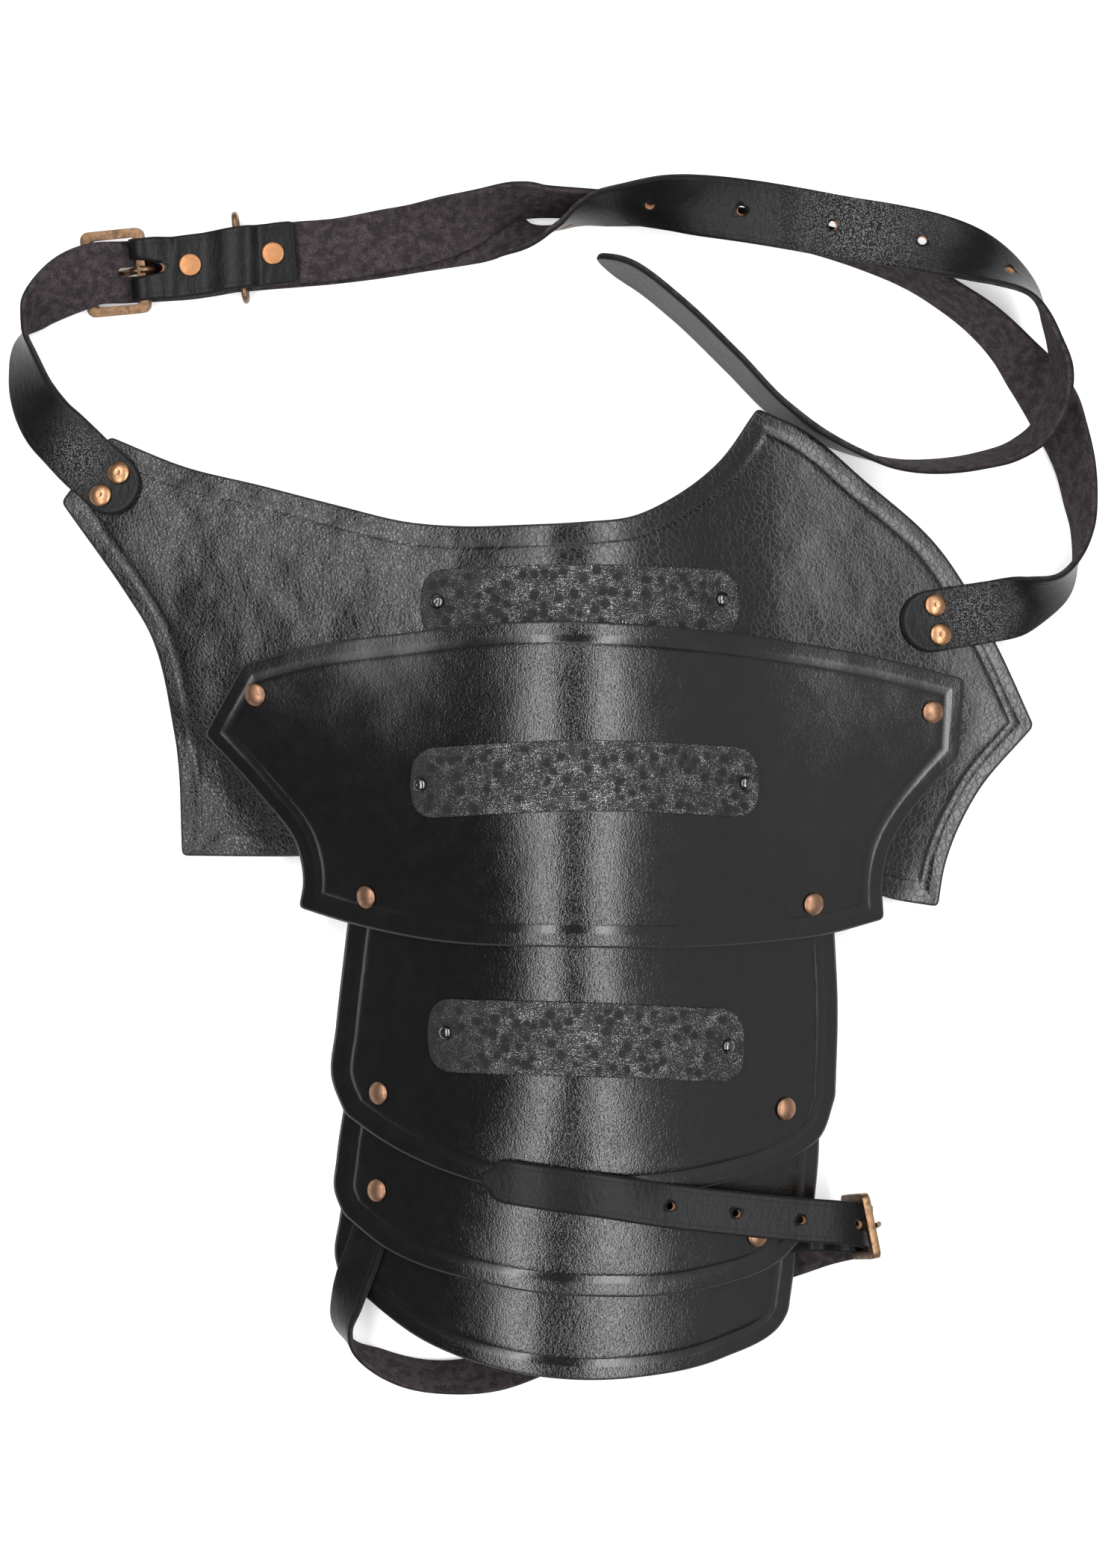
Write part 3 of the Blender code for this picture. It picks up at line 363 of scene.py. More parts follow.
steel = hammered_steel()
bright_copper = tarnished("bright_copper", (0.38, 0.215, 0.118), (0.20, 0.10, 0.055), rough=0.30,
                          grime=0.7)
brown_copper = tarnished("brown_copper", (0.26, 0.148, 0.092), (0.12, 0.07, 0.048), rough=0.36,
                         grime=0.9)
flat_copper = tarnished("flat_copper", (0.31, 0.15, 0.068), (0.20, 0.095, 0.045), rough=0.40,
                        grime=0.5)
old_brass = tarnished("old_brass", (0.20, 0.122, 0.068), (0.08, 0.048, 0.030), rough=0.30,
                      grime=0.9)
black_pin = tarnished("black_pin", (0.14, 0.14, 0.14), (0.02, 0.02, 0.02), rough=0.12,
                      grime=0.9, scale=2.0)
print("metals:", [metal.name for metal in (steel, bright_copper, brown_copper, flat_copper,
                                           old_brass, black_pin)])

# %% [markdown]
# ## The arched surface
#
# All the plates follow one arch, as they do in the CAD: round over the ridge, steep down
# the flanks and easing off into the sloping wings, whose edges come down near the table.
# Glossy leather shows every change of slope as a change of brightness, so the slopes, more
# than the outlines, decide how the plates look. A sheet is drawn in plan and then lifted
# onto this surface.

# %% The surface that the plates follow
KNEES = (50.0, 78.0)         # so far from the ridge the left and right flanks ease off
KNEE_SOFTNESS = 8.0
BLEND = 4.0                  # how gently the wings run out onto the table

# Cross-sections from the neck to the arm: where the ridge is, how high and how round,
# slopes of the two flanks, slopes of the two wings and heights that their edges lie at.
SECTIONS = (
    # y, ridge_x, ridge, radius, left_flank, right_flank, left_wing, right_wing, left_, right_rest
    (-260, -2, 57, 64, 0.80, 0.63, 0.80, 0.63, -30.0, -30.0),
    (-215, -2, 60, 64, 0.82, 0.63, 0.82, 0.63, -30.0, -30.0),
    (-170, 1, 64, 54, 0.83, 0.66, 0.83, 0.66, -30.0, -30.0),
    (-110, 5.5, 73, 36, 0.80, 0.70, 0.80, 0.70, -30.0, -30.0),
    (-80, 5.5, 75, 36, 0.83, 0.77, 0.83, 0.72, -12.0, -12.0),
    (-54, 5.5, 77, 36, 0.85, 0.80, 0.80, 0.60, 3.4, 3.4),
    (-10, 5.5, 77, 36, 0.76, 0.75, 0.62, 0.46, 3.5, 4.5),
    (30, 5.5, 75, 36, 0.73, 0.71, 0.435, 0.36, 4.5, 6.0),
    (70, 5.5, 69, 36, 0.66, 0.66, 0.33, 0.32, 6.0, 7.0),
    (110, 5.5, 62, 36, 0.59, 0.60, 0.24, 0.30, 6.5, 7.5),
    (165, 5.5, 50, 36, 0.54, 0.56, 0.21, 0.26, 6.5, 8.0),
)

# %% Smooth curves through points
def through(xs, ys, x):
    """Smooth curve through the points (xs, ys) that never swings past them, read at x."""
    xs = np.asarray(xs, float)
    ys = np.asarray(ys, float)
    step = np.diff(xs)
    slope = np.diff(ys) / step
    before, after = slope[:-1], slope[1:]
    agree = before * after > 0
    tangent = np.empty(len(xs))
    tangent[0], tangent[-1] = slope[0], slope[-1]
    tangent[1:-1] = np.where(agree, 2 * before * after / np.where(agree, before + after, 1), 0)
    i = np.clip(np.searchsorted(xs, x) - 1, 0, len(xs) - 2)
    t = np.clip((x - xs[i]) / step[i], 0, 1)
    rise = (1 + 2 * t) * (1 - t) ** 2 * ys[i] + t * t * (3 - 2 * t) * ys[i + 1]
    lean = t * (1 - t) ** 2 * tangent[i] - t * t * (1 - t) * tangent[i + 1]
    return rise + lean * step[i]


def bend_through(points, spacing):
    """Points about spacing apart on a smooth curve through the given ones."""
    points = np.asarray(points, float)
    step = np.diff(points, axis=0)
    length = np.linalg.norm(step, axis=1)[:, None]
    pace = step / length
    between = length[1:] * pace[:-1] + length[:-1] * pace[1:]
    tangent = np.vstack([pace[:1], between / (length[1:] + length[:-1]), pace[-1:]])
    curve = []
    for k, reach in enumerate(length[:, 0]):
        pieces = max(1, round(reach / spacing))
        t = (np.arange(pieces) / pieces)[:, None]
        place = (1 + 2 * t) * (1 - t) ** 2 * points[k] + t * t * (3 - 2 * t) * points[k + 1]
        lean = t * (1 - t) ** 2 * tangent[k] - t * t * (1 - t) * tangent[k + 1]
        curve.append(place + reach * lean)
    return np.vstack([*curve, points[-1:]])


# %% Heights and slopes of the surface
def base_height(x, y):
    """Height of the surface that the plates follow."""
    x = np.asarray(x, float)
    y = np.asarray(y, float)
    table = np.array(SECTIONS, float).T
    ridge_x, ridge, radius, left, right, left_wing, right_wing, left_rest, right_rest = (
        through(table[0], column, y) for column in table[1:])
    across = x - ridge_x
    flank, wing, rest, knee = (
        np.where(across < 0, *sides) for sides in
        ((left, right), (left_wing, right_wing), (left_rest, right_rest), KNEES))
    beyond = KNEE_SOFTNESS * np.logaddexp(0, (abs(across) - knee) / KNEE_SOFTNESS)
    arch = ridge - flank * (np.hypot(across, radius) - radius) + (flank - wing) * beyond
    return rest + BLEND * np.logaddexp(0, (arch - rest) / BLEND)


def facing(x, y):
    """Unit normals of the surface, one row for each point."""
    step = 0.5
    slope_x = base_height(x + step, y) - base_height(x - step, y)
    slope_y = base_height(x, y + step) - base_height(x, y - step)
    normal = np.stack([-slope_x, -slope_y, np.ones_like(slope_x)], axis=-1)
    return normal / np.linalg.norm(normal, axis=-1, keepdims=True)


def on_surface(x, y, lift):
    """Points that stand lift above the surface, measured square to it, at plan x, y."""
    x = np.asarray(x, float)
    y = np.asarray(y, float)
    normal = facing(x, y)
    height = base_height(x, y) + lift / normal[..., 2]
    return np.stack([x, y, height], axis=-1), normal


print("height of the ridge, neck to arm:", np.round(base_height(5.5, (150, 50, -50, -200))))

# %% Points in a flat pattern
def inside(outline, x, y):
    """Which points lie inside a closed outline."""
    within = np.zeros(np.shape(x), bool)
    for (x0, y0), (x1, y1) in zip(outline, np.roll(outline, -1, axis=0)):
        if y0 != y1:
            crosses = (y0 > y) != (y1 > y)
            within ^= crosses & (x < (x1 - x0) * (y - y0) / (y1 - y0) + x0)
    return within


def distance_to(outline, x, y):
    """Distance of each point from a closed outline."""
    nearest = np.full(np.shape(x), np.inf)
    for (x0, y0), (x1, y1) in zip(outline, np.roll(outline, -1, axis=0)):
        run, rise = x1 - x0, y1 - y0
        t = np.clip(((x - x0) * run + (y - y0) * rise) / (run * run + rise * rise), 0, 1)
        nearest = np.minimum(nearest, np.hypot(x - x0 - t * run, y - y0 - t * rise))
    return nearest


# %% [markdown]
# ## Cutting a sheet and bending it
#
# A plate is cut from flat leather, its cut edge is rounded with a slicker, and a channel is
# tooled round it a few millimetres inside. Closed lines at growing depths from the edge give
# all three: each line has its own height, so the rounding and the channel are real relief.
# Inside the last line the sheet is filled with even triangles, which bend without kinks.

# %% Lines inside an outline
CORNER = 2.5                             # how far from a corner its rounding begins
RUN_ON = 16.0                            # far enough for two moved sides to cross


def moved_in(side, depth):
    """A side of a clockwise outline moved inwards and run on at both ends."""
    ahead = np.gradient(side, axis=0)
    ahead /= np.linalg.norm(ahead, axis=1, keepdims=True)
    line = side + depth * np.stack([ahead[:, 1], -ahead[:, 0]], axis=1)
    return np.vstack([line[0] - RUN_ON * ahead[0], line, line[-1] + RUN_ON * ahead[-1]])


def lengths(line):
    """How far along a line each of its points is."""
    return np.concatenate([[0], np.cumsum(np.linalg.norm(np.diff(line, axis=0), axis=1))])


def at(line, distance):
    """Points of a line at these distances along it."""
    along = lengths(line)
    return np.stack([np.interp(distance, along, line[:, 0]),
                     np.interp(distance, along, line[:, 1])], axis=-1)


def meeting(first, second, near):
    """Distances along two lines to the crossing of theirs that is nearest to a point."""
    a, b = first[:-1, None], np.diff(first, axis=0)[:, None]
    c, d = second[None, :-1], np.diff(second, axis=0)[None]
    turn = b[..., 0] * d[..., 1] - b[..., 1] * d[..., 0]
    turn = np.where(abs(turn) < 1e-9, 1e-9, turn)
    gap = c - a
    t = (gap[..., 0] * d[..., 1] - gap[..., 1] * d[..., 0]) / turn
    u = (gap[..., 0] * b[..., 1] - gap[..., 1] * b[..., 0]) / turn
    hit = (t >= 0) & (t <= 1) & (u >= 0) & (u <= 1)
    away = np.where(hit, np.linalg.norm(a + t[..., None] * b - near, axis=-1), np.inf)
    i, j = np.unravel_index(np.argmin(away), away.shape)
    return (lengths(first)[i] + t[i, j] * np.linalg.norm(b[i, 0]),
            lengths(second)[j] + u[i, j] * np.linalg.norm(d[0, j]))


def mitred(sides, counts, depth):
    """A closed line this deep inside an outline whose sides meet in corners."""
    lines = [moved_in(side, depth) for side in sides]
    cut = max(0.5, CORNER - 0.5 * depth)
    ends = [0.0] * len(sides)
    starts = [0.0] * len(sides)
    for k, line in enumerate(lines):
        after = (k + 1) % len(lines)
        ends[k], starts[after] = meeting(line, lines[after], sides[k][-1])
    points = []
    for k, line in enumerate(lines):
        after = (k + 1) % len(lines)
        points.append(at(line, np.linspace(starts[k] + cut, ends[k] - cut, counts[k])))
        leave, tip = at(line, ends[k] - cut), at(line, ends[k])
        join = at(lines[after], starts[after] + cut)
        for t in (0.25, 0.5, 0.75):
            points.append((1 - t) ** 2 * leave + 2 * t * (1 - t) * tip + t * t * join)
    return np.vstack(points)


def shrunk(outline, depth):
    """A closed line this deep inside a smooth clockwise outline."""
    ahead = np.roll(outline, -1, axis=0) - np.roll(outline, 1, axis=0)
    ahead /= np.linalg.norm(ahead, axis=1, keepdims=True)
    return outline + depth * np.stack([ahead[:, 1], -ahead[:, 0]], axis=1)


# %% Triangles that fill a flat pattern
def honeycomb(outline, across, along, margin, holes):
    """Evenly spread points inside an outline, clear of it and of the holes."""
    low, high = outline.min(axis=0), outline.max(axis=0)
    rows = enumerate(np.arange(low[1], high[1], along))
    grid = np.array([(x + (row % 2) * across / 2, y) for row, y in rows
                     for x in np.arange(low[0], high[0], across)])
    grid = grid[inside(outline, *grid.T)]
    grid = grid[distance_to(outline, *grid.T) > margin]
    for hole in holes:
        reach = np.linalg.norm(hole - hole.mean(axis=0), axis=1).max()
        near = np.linalg.norm(grid - hole.mean(axis=0), axis=1) < reach + margin + 1
        clear = ~near
        clear[near] = ~inside(hole, *grid[near].T) & (distance_to(hole, *grid[near].T) > margin)
        grid = grid[clear]
    return grid


def filled_in(rim, holes, inner):
    """Points and triangles between a rim and the holes, and which points each of them has."""
    loops = [rim, *holes]
    plan = [Vector(p) for p in np.vstack([*loops, inner])]
    edges, parts, begin = [], [], 0
    for loop in loops:
        edges += [(begin + k, begin + (k + 1) % len(loop)) for k in range(len(loop))]
        parts.append(range(begin, begin + len(loop)))
        begin += len(loop)
    verts, _, triangles, from_points, *_ = delaunay_2d_cdt(plan, edges, [], 0, 1e-6)
    points = np.array([(v.x, v.y) for v in verts])
    became = {old: new for new, olds in enumerate(from_points) for old in olds}
    borders = [np.array([became[k] for k in part]) for part in parts]
    corners = np.array([t for t in triangles if len(t) == 3])
    centres = points[corners].mean(axis=1)
    wanted = inside(points[borders[0]], *centres.T)
    for hole in holes:
        near = np.linalg.norm(centres - hole.mean(axis=0), axis=1) < 30
        wanted[near] &= ~inside(hole, *centres[near].T)
    return points, corners[wanted], borders


# %% Pieces from points
def give(piece, **attributes):
    """Give every point of a piece its values of some attributes."""
    for label, values in attributes.items():
        layer = piece.data.attributes.new(label, "FLOAT", "POINT")
        layer.data.foreach_set("value", values)


def places_of(piece):
    """Where the points of a new piece are, in the tables' millimetres."""
    return np.array([v.co for v in piece.data.vertices]) / MM + ORIGIN


def as_piece(name, points, faces, **attributes):
    """A smooth closed piece from points in millimetres, its faces turned outwards."""
    corners = (points - ORIGIN) * MM
    mesh = bpy.data.meshes.new(name)
    mesh.from_pydata(corners.tolist(), [], [tuple(int(i) for i in face) for face in faces])
    shape = bmesh.new()
    shape.from_mesh(mesh)
    loose = [edge for edge in shape.edges if len(edge.link_faces) != 2]
    bmesh.ops.recalc_face_normals(shape, faces=shape.faces)
    if shape.calc_volume(signed=True) < 0:
        bmesh.ops.reverse_faces(shape, faces=shape.faces)
    shape.to_mesh(mesh)
    shape.free()
    mesh.shade_smooth()
    piece = bpy.data.objects.new(name, mesh)
    give(piece, **attributes)
    bpy.context.collection.objects.link(piece)
    print(name, len(mesh.polygons), "faces,", len(loose), "open edges")
    return piece


def finished(piece, material, slot, *nodes):
    """The last step for every piece: its finish, its body and the solids it stands for."""
    piece.data.materials.clear()
    piece.data.materials.append(material)
    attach(piece, "root")
    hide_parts(*nodes)


# %% A sheet from its lines
DEEP = 20.0                              # what depth says far from the edge, in mm
RIM_CLEAR = 1.0                          # a hole nearer to the rim than this is not cut
ROUNDED_BACK = (0.45, 0.12)              # how much the back is rounded on the first two lines
EDGE_FLESH = 0.55                        # share of the flesh's look on a cut edge
HOLE_ROUNDING = 0.3


def ring_quads(first, second):
    """Quads between two closed rows of points."""
    return list(zip(first, second, np.roll(second, -1), np.roll(first, -1)))


def cut_sheet(name, lines, heights, depths, inner, holes, bend, thickness, raw=1.0):
    """One closed sheet. bend turns places in the flat pattern and heights into points, and
    raw says whether the holes' walls are undyed leather. A hole too near the rim, which its
    rivet hides anyway, is left filled."""
    holes = [hole for hole in holes if inside(lines[-1], *hole.T).all()
             and distance_to(lines[-1], *hole.T).min() > RIM_CLEAR]
    filled, corners, (rim, *hole_rims) = filled_in(lines[-1], holes, inner)
    flat = np.vstack([*lines[:-1], filled])
    count = len(lines[0])
    first_filled = count * (len(lines) - 1)
    rows = [np.arange(count) + k * count for k in range(len(lines) - 1)]
    rows.append(first_filled + rim)
    total = len(flat)
    high = np.zeros(total)
    deep = np.full(total, DEEP)
    low = np.full(total, -thickness)
    for row, height, depth in zip(rows, heights, depths):
        high[row] = height
        deep[row] = depth
    for row, rounding in zip(rows, ROUNDED_BACK):
        low[row] += rounding
    faces = [quad for a, b in zip(rows, rows[1:]) for quad in ring_quads(b, a)]
    faces += [tuple(first_filled + t[::-1]) for t in corners]
    faces += [tuple(total + i for i in face[::-1]) for face in faces]

    everywhere = np.arange(total)
    # places in the pattern, level, flesh and raw of each row of points
    layers = [(everywhere, high, 0.0, 0.0), (everywhere, low, 1.0, 0.0)]
    walls = [(rows[0], (-thickness * 0.5,), EDGE_FLESH, 0.0)]
    walls += [(first_filled + row, (-HOLE_ROUNDING, -thickness + HOLE_ROUNDING), 0.0, raw)
              for row in hole_rims]
    made = 2 * total
    for border, levels, flesh, paling in walls:
        outer = border is rows[0]
        above = border
        for level in levels:
            layers.append((border, np.full(len(border), level), flesh, paling))
            below = made + np.arange(len(border))
            made += len(border)
            faces += ring_quads(above, below) if outer else ring_quads(below, above)
            above = below
        below = total + border
        faces += ring_quads(above, below) if outer else ring_quads(below, above)
    places, levels, flesh, paling = zip(*layers)
    each = [len(row) for row in places]
    places = np.concatenate(places)
    points = bend(flat[places], np.concatenate(levels))
    return as_piece(name, points, faces, depth=deep[places], flesh=np.repeat(flesh, each),
                    raw=np.repeat(paling, each))


# %% [markdown]
# ## The plates
#
# The shoulder plate has two wings of different cut, and four lames follow it down the arm.
# Each row of a table is one side of a plate, a smooth curve between two corners.

# %% The plates' outlines
SHOULDER = (
    ((-193, 149), (-159, 135), (-128, 127), (-95, 118), (-63, 110), (-41, 108), (-16, 108),
     (9, 109), (31, 112), (47, 120), (66, 135), (84, 160)),
    ((84, 160), (104, 151), (130, 130), (161, 103), (187, 61), (204, 25)),
    ((204, 25), (179, -5), (166, -35), (163, -53)),
    ((163, -53), (138, -48), (118, -37), (62, -27), (5, -25), (-47, -26), (-112, -31),
     (-163, -31)),
    ((-163, -31), (-166, 22), (-177, 67), (-185, 80), (-214, 121)),
    ((-214, 121), (-193, 149)),
)
LAME_1 = (
    ((-134, 51), (-111, 57), (-66, 63), (-20, 67), (34, 66), (91, 61), (134, 54), (173, 45)),
    ((173, 45), (171, 12)),
    ((171, 12), (159, -1), (147, -16), (141, -27), (138, -42), (139, -58)),
    ((139, -58), (114, -64), (84, -67), (5, -67), (-57, -65), (-90, -59), (-112, -53)),
    ((-112, -53), (-110, -42), (-112, -28), (-130, -3), (-152, 21)),
    ((-152, 21), (-134, 51)),
)
LAME_2 = (
    ((-88, -39), (5, -37), (116, -45)),
    ((116, -45), (119, -90), (118, -134)),
    ((118, -134), (111, -151), (99, -159), (63, -169), (5, -171), (-35, -166), (-76, -151),
     (-92, -141)),
    ((-92, -141), (-98, -126), (-96, -104), (-88, -39)),
)
LAME_3 = (
    ((-89, -118), (-28, -142), (37, -142), (109, -124)),
    ((109, -124), (111, -150), (108, -188)),
    ((108, -188), (95, -202), (60, -213), (15, -214), (-31, -209), (-76, -196), (-93, -184)),
    ((-93, -184), (-97, -174), (-96, -161), (-89, -118)),
)
LAME_4 = (
    ((-91, -161), (-28, -184), (37, -187), (100, -171)),
    ((100, -171), (101, -200), (98, -226)),
    ((98, -226), (95, -231), (69, -244), (30, -250), (-13, -248), (-58, -236), (-95, -211)),
    ((-95, -211), (-97, -203), (-95, -187), (-91, -161)),
)
PLATE = 3.0                              # thickness of the plates, in mm
STRIP = 1.0                              # of the strips
ARM_LEATHER = 2.5                        # and of the arm straps
GAP = 0.4                                # air left between layers
# Lifts of the plates' outer faces. The arm straps fit between lames 3 and 4.
LAME_1_LIFT = PLATE + STRIP + 2.2 * GAP
LAME_3_LIFT = -PLATE - 1.8 * GAP
ARM_STRAP_LIFT = LAME_3_LIFT - PLATE - GAP - ARM_LEATHER / 2
LAME_4_LIFT = LAME_3_LIFT - PLATE - ARM_LEATHER - 2 * GAP
PLATES = {
    # name: (sides, lift of its outer face)
    "shoulder_plate": (SHOULDER, 0.0),
    "lame_1": (LAME_1, LAME_1_LIFT),
    "lame_2": (LAME_2, 0.0),
    "lame_3": (LAME_3, LAME_3_LIFT),
    "lame_4": (LAME_4, LAME_4_LIFT),
}
STRIPS = {
    # name: ((left x, left y, middle y, right x, right y, half height), plate it lies on)
    "steel_strip_1": ((-58, 75.0, 76.5, 75, 75.5, 14.6), "shoulder_plate"),
    "steel_strip_2": ((-62, 0.0, 3.5, 83, 0.5, 14.6), "lame_1"),
    "steel_strip_3": ((-55, -105.0, -105.5, 77, -110.0, 15.4), "lame_2"),
}
SHANK = 1.5                              # radius of the rivets' shanks
HOLE = 2.1                               # and of the holes that they pass through
PIN = 1.0                                # the same for the strips' pins
PIN_HOLE = 1.5
LAME_RIVETS = (
    # x, y, outermost plate, innermost plate
    (-128.8, 37.9, "lame_1", "shoulder_plate"),
    (158.8, 30.7, "lame_1", "shoulder_plate"),
    (-81.5, -47.7, "lame_1", "lame_2"),
    (107.2, -50.9, "lame_1", "lame_2"),
    (-76.6, -131.1, "lame_2", "lame_3"),
    (95.6, -137.7, "lame_2", "lame_3"),
    (-77.5, -172.8, "lame_3", "lame_4"),
    (83.5, -191.3, "lame_3", "lame_4"),
)
STRIP_RIVETS = (
    # x, y, strip
    (-51.2, 76.1, "steel_strip_1"),
    (68.0, 77.4, "steel_strip_1"),
    (-58.1, -0.3, "steel_strip_2"),
    (77.5, 0.3, "steel_strip_2"),
    (-47.7, -103.9, "steel_strip_3"),
    (70.4, -109.8, "steel_strip_3"),
)
print(len(PLATES), "plates,", len(STRIPS), "strips")

# %% Rivets, and the holes that they need
CIRCLE = np.radians(np.arange(0, 360, 15))
holes = {name: [] for name in (*PLATES, *STRIPS)}
lifts = {name: row[1] for name, row in PLATES.items()}
for name, (_, under) in STRIPS.items():
    lifts[name] = lifts[under] + GAP + STRIP


def pierce(plate, x, y, lift, axis, radius):
    """A round hole in a plate's pattern, square to the axis that passes through it."""
    shift = lifts[plate] - lift
    right = np.cross((0, 1, 0), axis)
    right /= np.linalg.norm(right)
    up = np.cross(axis, right)
    middle = np.array((x + shift * axis[0], y + shift * axis[1]))
    holes[plate].append(np.array([middle + radius * (math.cos(a) * right + math.sin(a) * up)[:2]
                                  for a in CIRCLE]))


rivet_seats = {}                         # name: (top of the leather, axis, grip)
for number, (x, y, outermost, innermost) in enumerate(LAME_RIVETS, 1):
    lift = lifts[outermost]
    top, axis = on_surface(x, y, lift)
    rivet_seats[f"lame_rivet_{number}"] = (top, axis, lift - lifts[innermost] + PLATE)
    for plate in (outermost, innermost):
        pierce(plate, x, y, lift, axis, HOLE)
for number, (x, y, strip) in enumerate(STRIP_RIVETS, 1):
    lift = lifts[strip]
    top, axis = on_surface(x, y, lift)
    rivet_seats[f"strip_rivet_{number}"] = (top, axis, STRIP + GAP + PLATE)
    for plate in (strip, STRIPS[strip][1]):
        pierce(plate, x, y, lift, axis, PIN_HOLE)
print(sum(len(rows) for rows in holes.values()), "holes")

# %% The plates' meshes
BORDER = (
    # depth from the cut edge and height of the grain face there: the rounding, the channel
    (0.0, -0.80), (0.25, -0.32), (0.6, -0.08), (1.1, -0.01), (1.9, 0.0), (3.4, 0.01),
    (5.0, 0.0), (5.5, -0.04), (6.0, -0.14), (6.6, -0.26), (7.6, -0.34), (8.5, -0.38), (8.95, -0.34),
    (9.5, -0.15), (10.4, -0.04), (11.6, 0.0),
)
SIDE_STEP = 1.5                          # spacing of the points along an edge
RIDGE_X = 5.0                            # about where the ridge is


def drift(x, y, wide, tall, seed):
    """Smooth noise over a plan, about 1 high in all."""
    return np.array([noise.noise(Vector((a / wide, b / tall, seed))) for a, b in zip(x, y)])


def waves(x, y):
    """Broad unevenness of the stretched leather, in mm, strongest far out on the wings."""
    reach = np.clip((abs(x - RIDGE_X) - 45) / 50, 0, 1) * np.where(x < 0, 1.0, 0.5)
    room = np.clip((y + 10) / 60, 0.25, 1)
    swing = drift(x, y, 44, 34, 3.7) + 0.6 * drift(x, y, 17, 14, 8.1)
    return 0.42 * reach * room * swing + 0.13 * drift(x, y, 14, 11, 1.3)


def lively_on(name, x, y):
    """How lively the grain is, from 0 to 1: most over the lames' ridge, where they are bent,
    and on the shoulder plate's left wing, above all low down, where the hide was looser."""
    if name != "shoulder_plate":
        return 0.08 + 0.92 * np.exp(-((x - RIDGE_X) / 48) ** 2)
    left = np.clip((40 - x) / 120, 0, 1)
    low = np.clip((60 - y) / 80, 0, 1) * np.clip((-x - 60) / 60, 0, 1)
    return 0.6 * left + 0.4 * low


for name, (sides, lift) in PLATES.items():
    curves = [bend_through(side, SIDE_STEP) for side in sides]
    counts = [max(6, int(lengths(curve)[-1] / SIDE_STEP)) for curve in curves]
    depths, heights = zip(*BORDER)
    lines = [mitred(curves, counts, depth) for depth in depths]
    inner = honeycomb(lines[-1], across=2.7, along=2.5, margin=1.2, holes=holes[name])

    def bend(flat, height, lift=lift):
        return on_surface(*flat.T, lift + height + waves(*flat.T))[0]

    plate = cut_sheet(name + "_leather", lines, heights, depths, inner, holes[name], bend, PLATE)
    give(plate, lively=lively_on(name, *places_of(plate).T[:2]))
    material = wing_leather if name == "shoulder_plate" else lame_leather
    finished(plate, material, "plate_leather", name)

# %% [markdown]
# ## The straps
#
# A strap is the same kind of sheet, long and narrow. Its pattern is flat, s along it and w
# across it, and its course through the air carries it over: points that it passes, each
# with a roll, so that it can twist and turn its flesh side up as a real one does.

# %% The course of a strap
CHEST_WIDTH = 26.4                       # widths and thickness in mm
CHEST_LEATHER = 2.8
ARM_WIDTH = 18.5
COURSE_STEP = 0.5                        # spacing of the points of a course


def course_of(stations):
    """Course of a strap at fine steps: how far along each is, its point, and the directions
    across the strap there and out of its grain side.

    A station is x, y, z, roll and, where the strap turns over a bar, the bearing that its
    width keeps; elsewhere the bearing is that of its route. Roll 0 lies grain side up, and
    a positive roll raises the edge on the left of the route.
    """
    places = np.array([row[:3] for row in stations], float)
    centre = bend_through(places, COURSE_STEP)
    along = lengths(centre)
    marks = np.array([along[np.argmin(np.linalg.norm(centre - place, axis=1))]
                      for place in places])
    ahead = np.gradient(centre, along, axis=0)
    ahead /= np.linalg.norm(ahead, axis=1, keepdims=True)
    route = np.unwrap([math.atan2(np.interp(s, along, ahead[:, 1]),
                                  np.interp(s, along, ahead[:, 0])) for s in marks])
    bearing = np.degrees(route)
    for k, row in enumerate(stations):
        if len(row) > 4:
            bearing[k] = row[4] + 360 * round((bearing[k - 1] - row[4]) / 360)
    turn = np.radians(through(marks, bearing, along))
    roll = np.radians(through(marks, [row[3] for row in stations], along))
    across = np.stack([-np.sin(turn) * np.cos(roll), np.cos(turn) * np.cos(roll),
                       np.sin(roll)], axis=1)
    across -= ahead * np.sum(across * ahead, axis=1, keepdims=True)
    across /= np.linalg.norm(across, axis=1, keepdims=True)
    return along, centre, across, np.cross(ahead, across)


# %% Places on a strap, and stations for one
def place_on(course, distance, aside):
    """Point of a strap's middle layer, and the direction its grain faces."""
    along, centre, across, face = course
    point, sideways, normal = (np.stack([np.interp(distance, along, part[:, k])
                                         for k in range(3)], axis=-1)
                               for part in (centre, across, face))
    normal /= np.linalg.norm(normal, axis=-1, keepdims=True)
    return point + sideways * np.asarray(aside)[..., None], normal


def spot(course, point):
    """Where on a strap a point lies: its distance along and its distance aside."""
    along, centre, across, _ = course
    nearest = int(np.argmin(np.linalg.norm(centre - point, axis=1)))
    return float(along[nearest]), float(across[nearest] @ (np.array(point) - centre[nearest]))


def width_direction(bearing, roll):
    """Direction across a strap or a buckle, level apart from its roll."""
    turn, lean = math.radians(bearing), math.radians(roll)
    return np.array((-math.sin(turn) * math.cos(lean), math.cos(turn) * math.cos(lean),
                     math.sin(lean)))


def round_bar(bar, radius, start, end, roll, bearing, steps=5):
    """Stations of a strap round a buckle's bar, from one angle above its heading to another."""
    heading = np.array((math.cos(math.radians(bearing)), math.sin(math.radians(bearing)), 0))
    up = np.cross(heading, width_direction(bearing, roll))
    up *= np.sign(up[2])
    return tuple((*(bar + radius * (math.cos(a) * heading + math.sin(a) * up)), roll, bearing)
                 for a in np.radians(np.linspace(start, end, steps)))


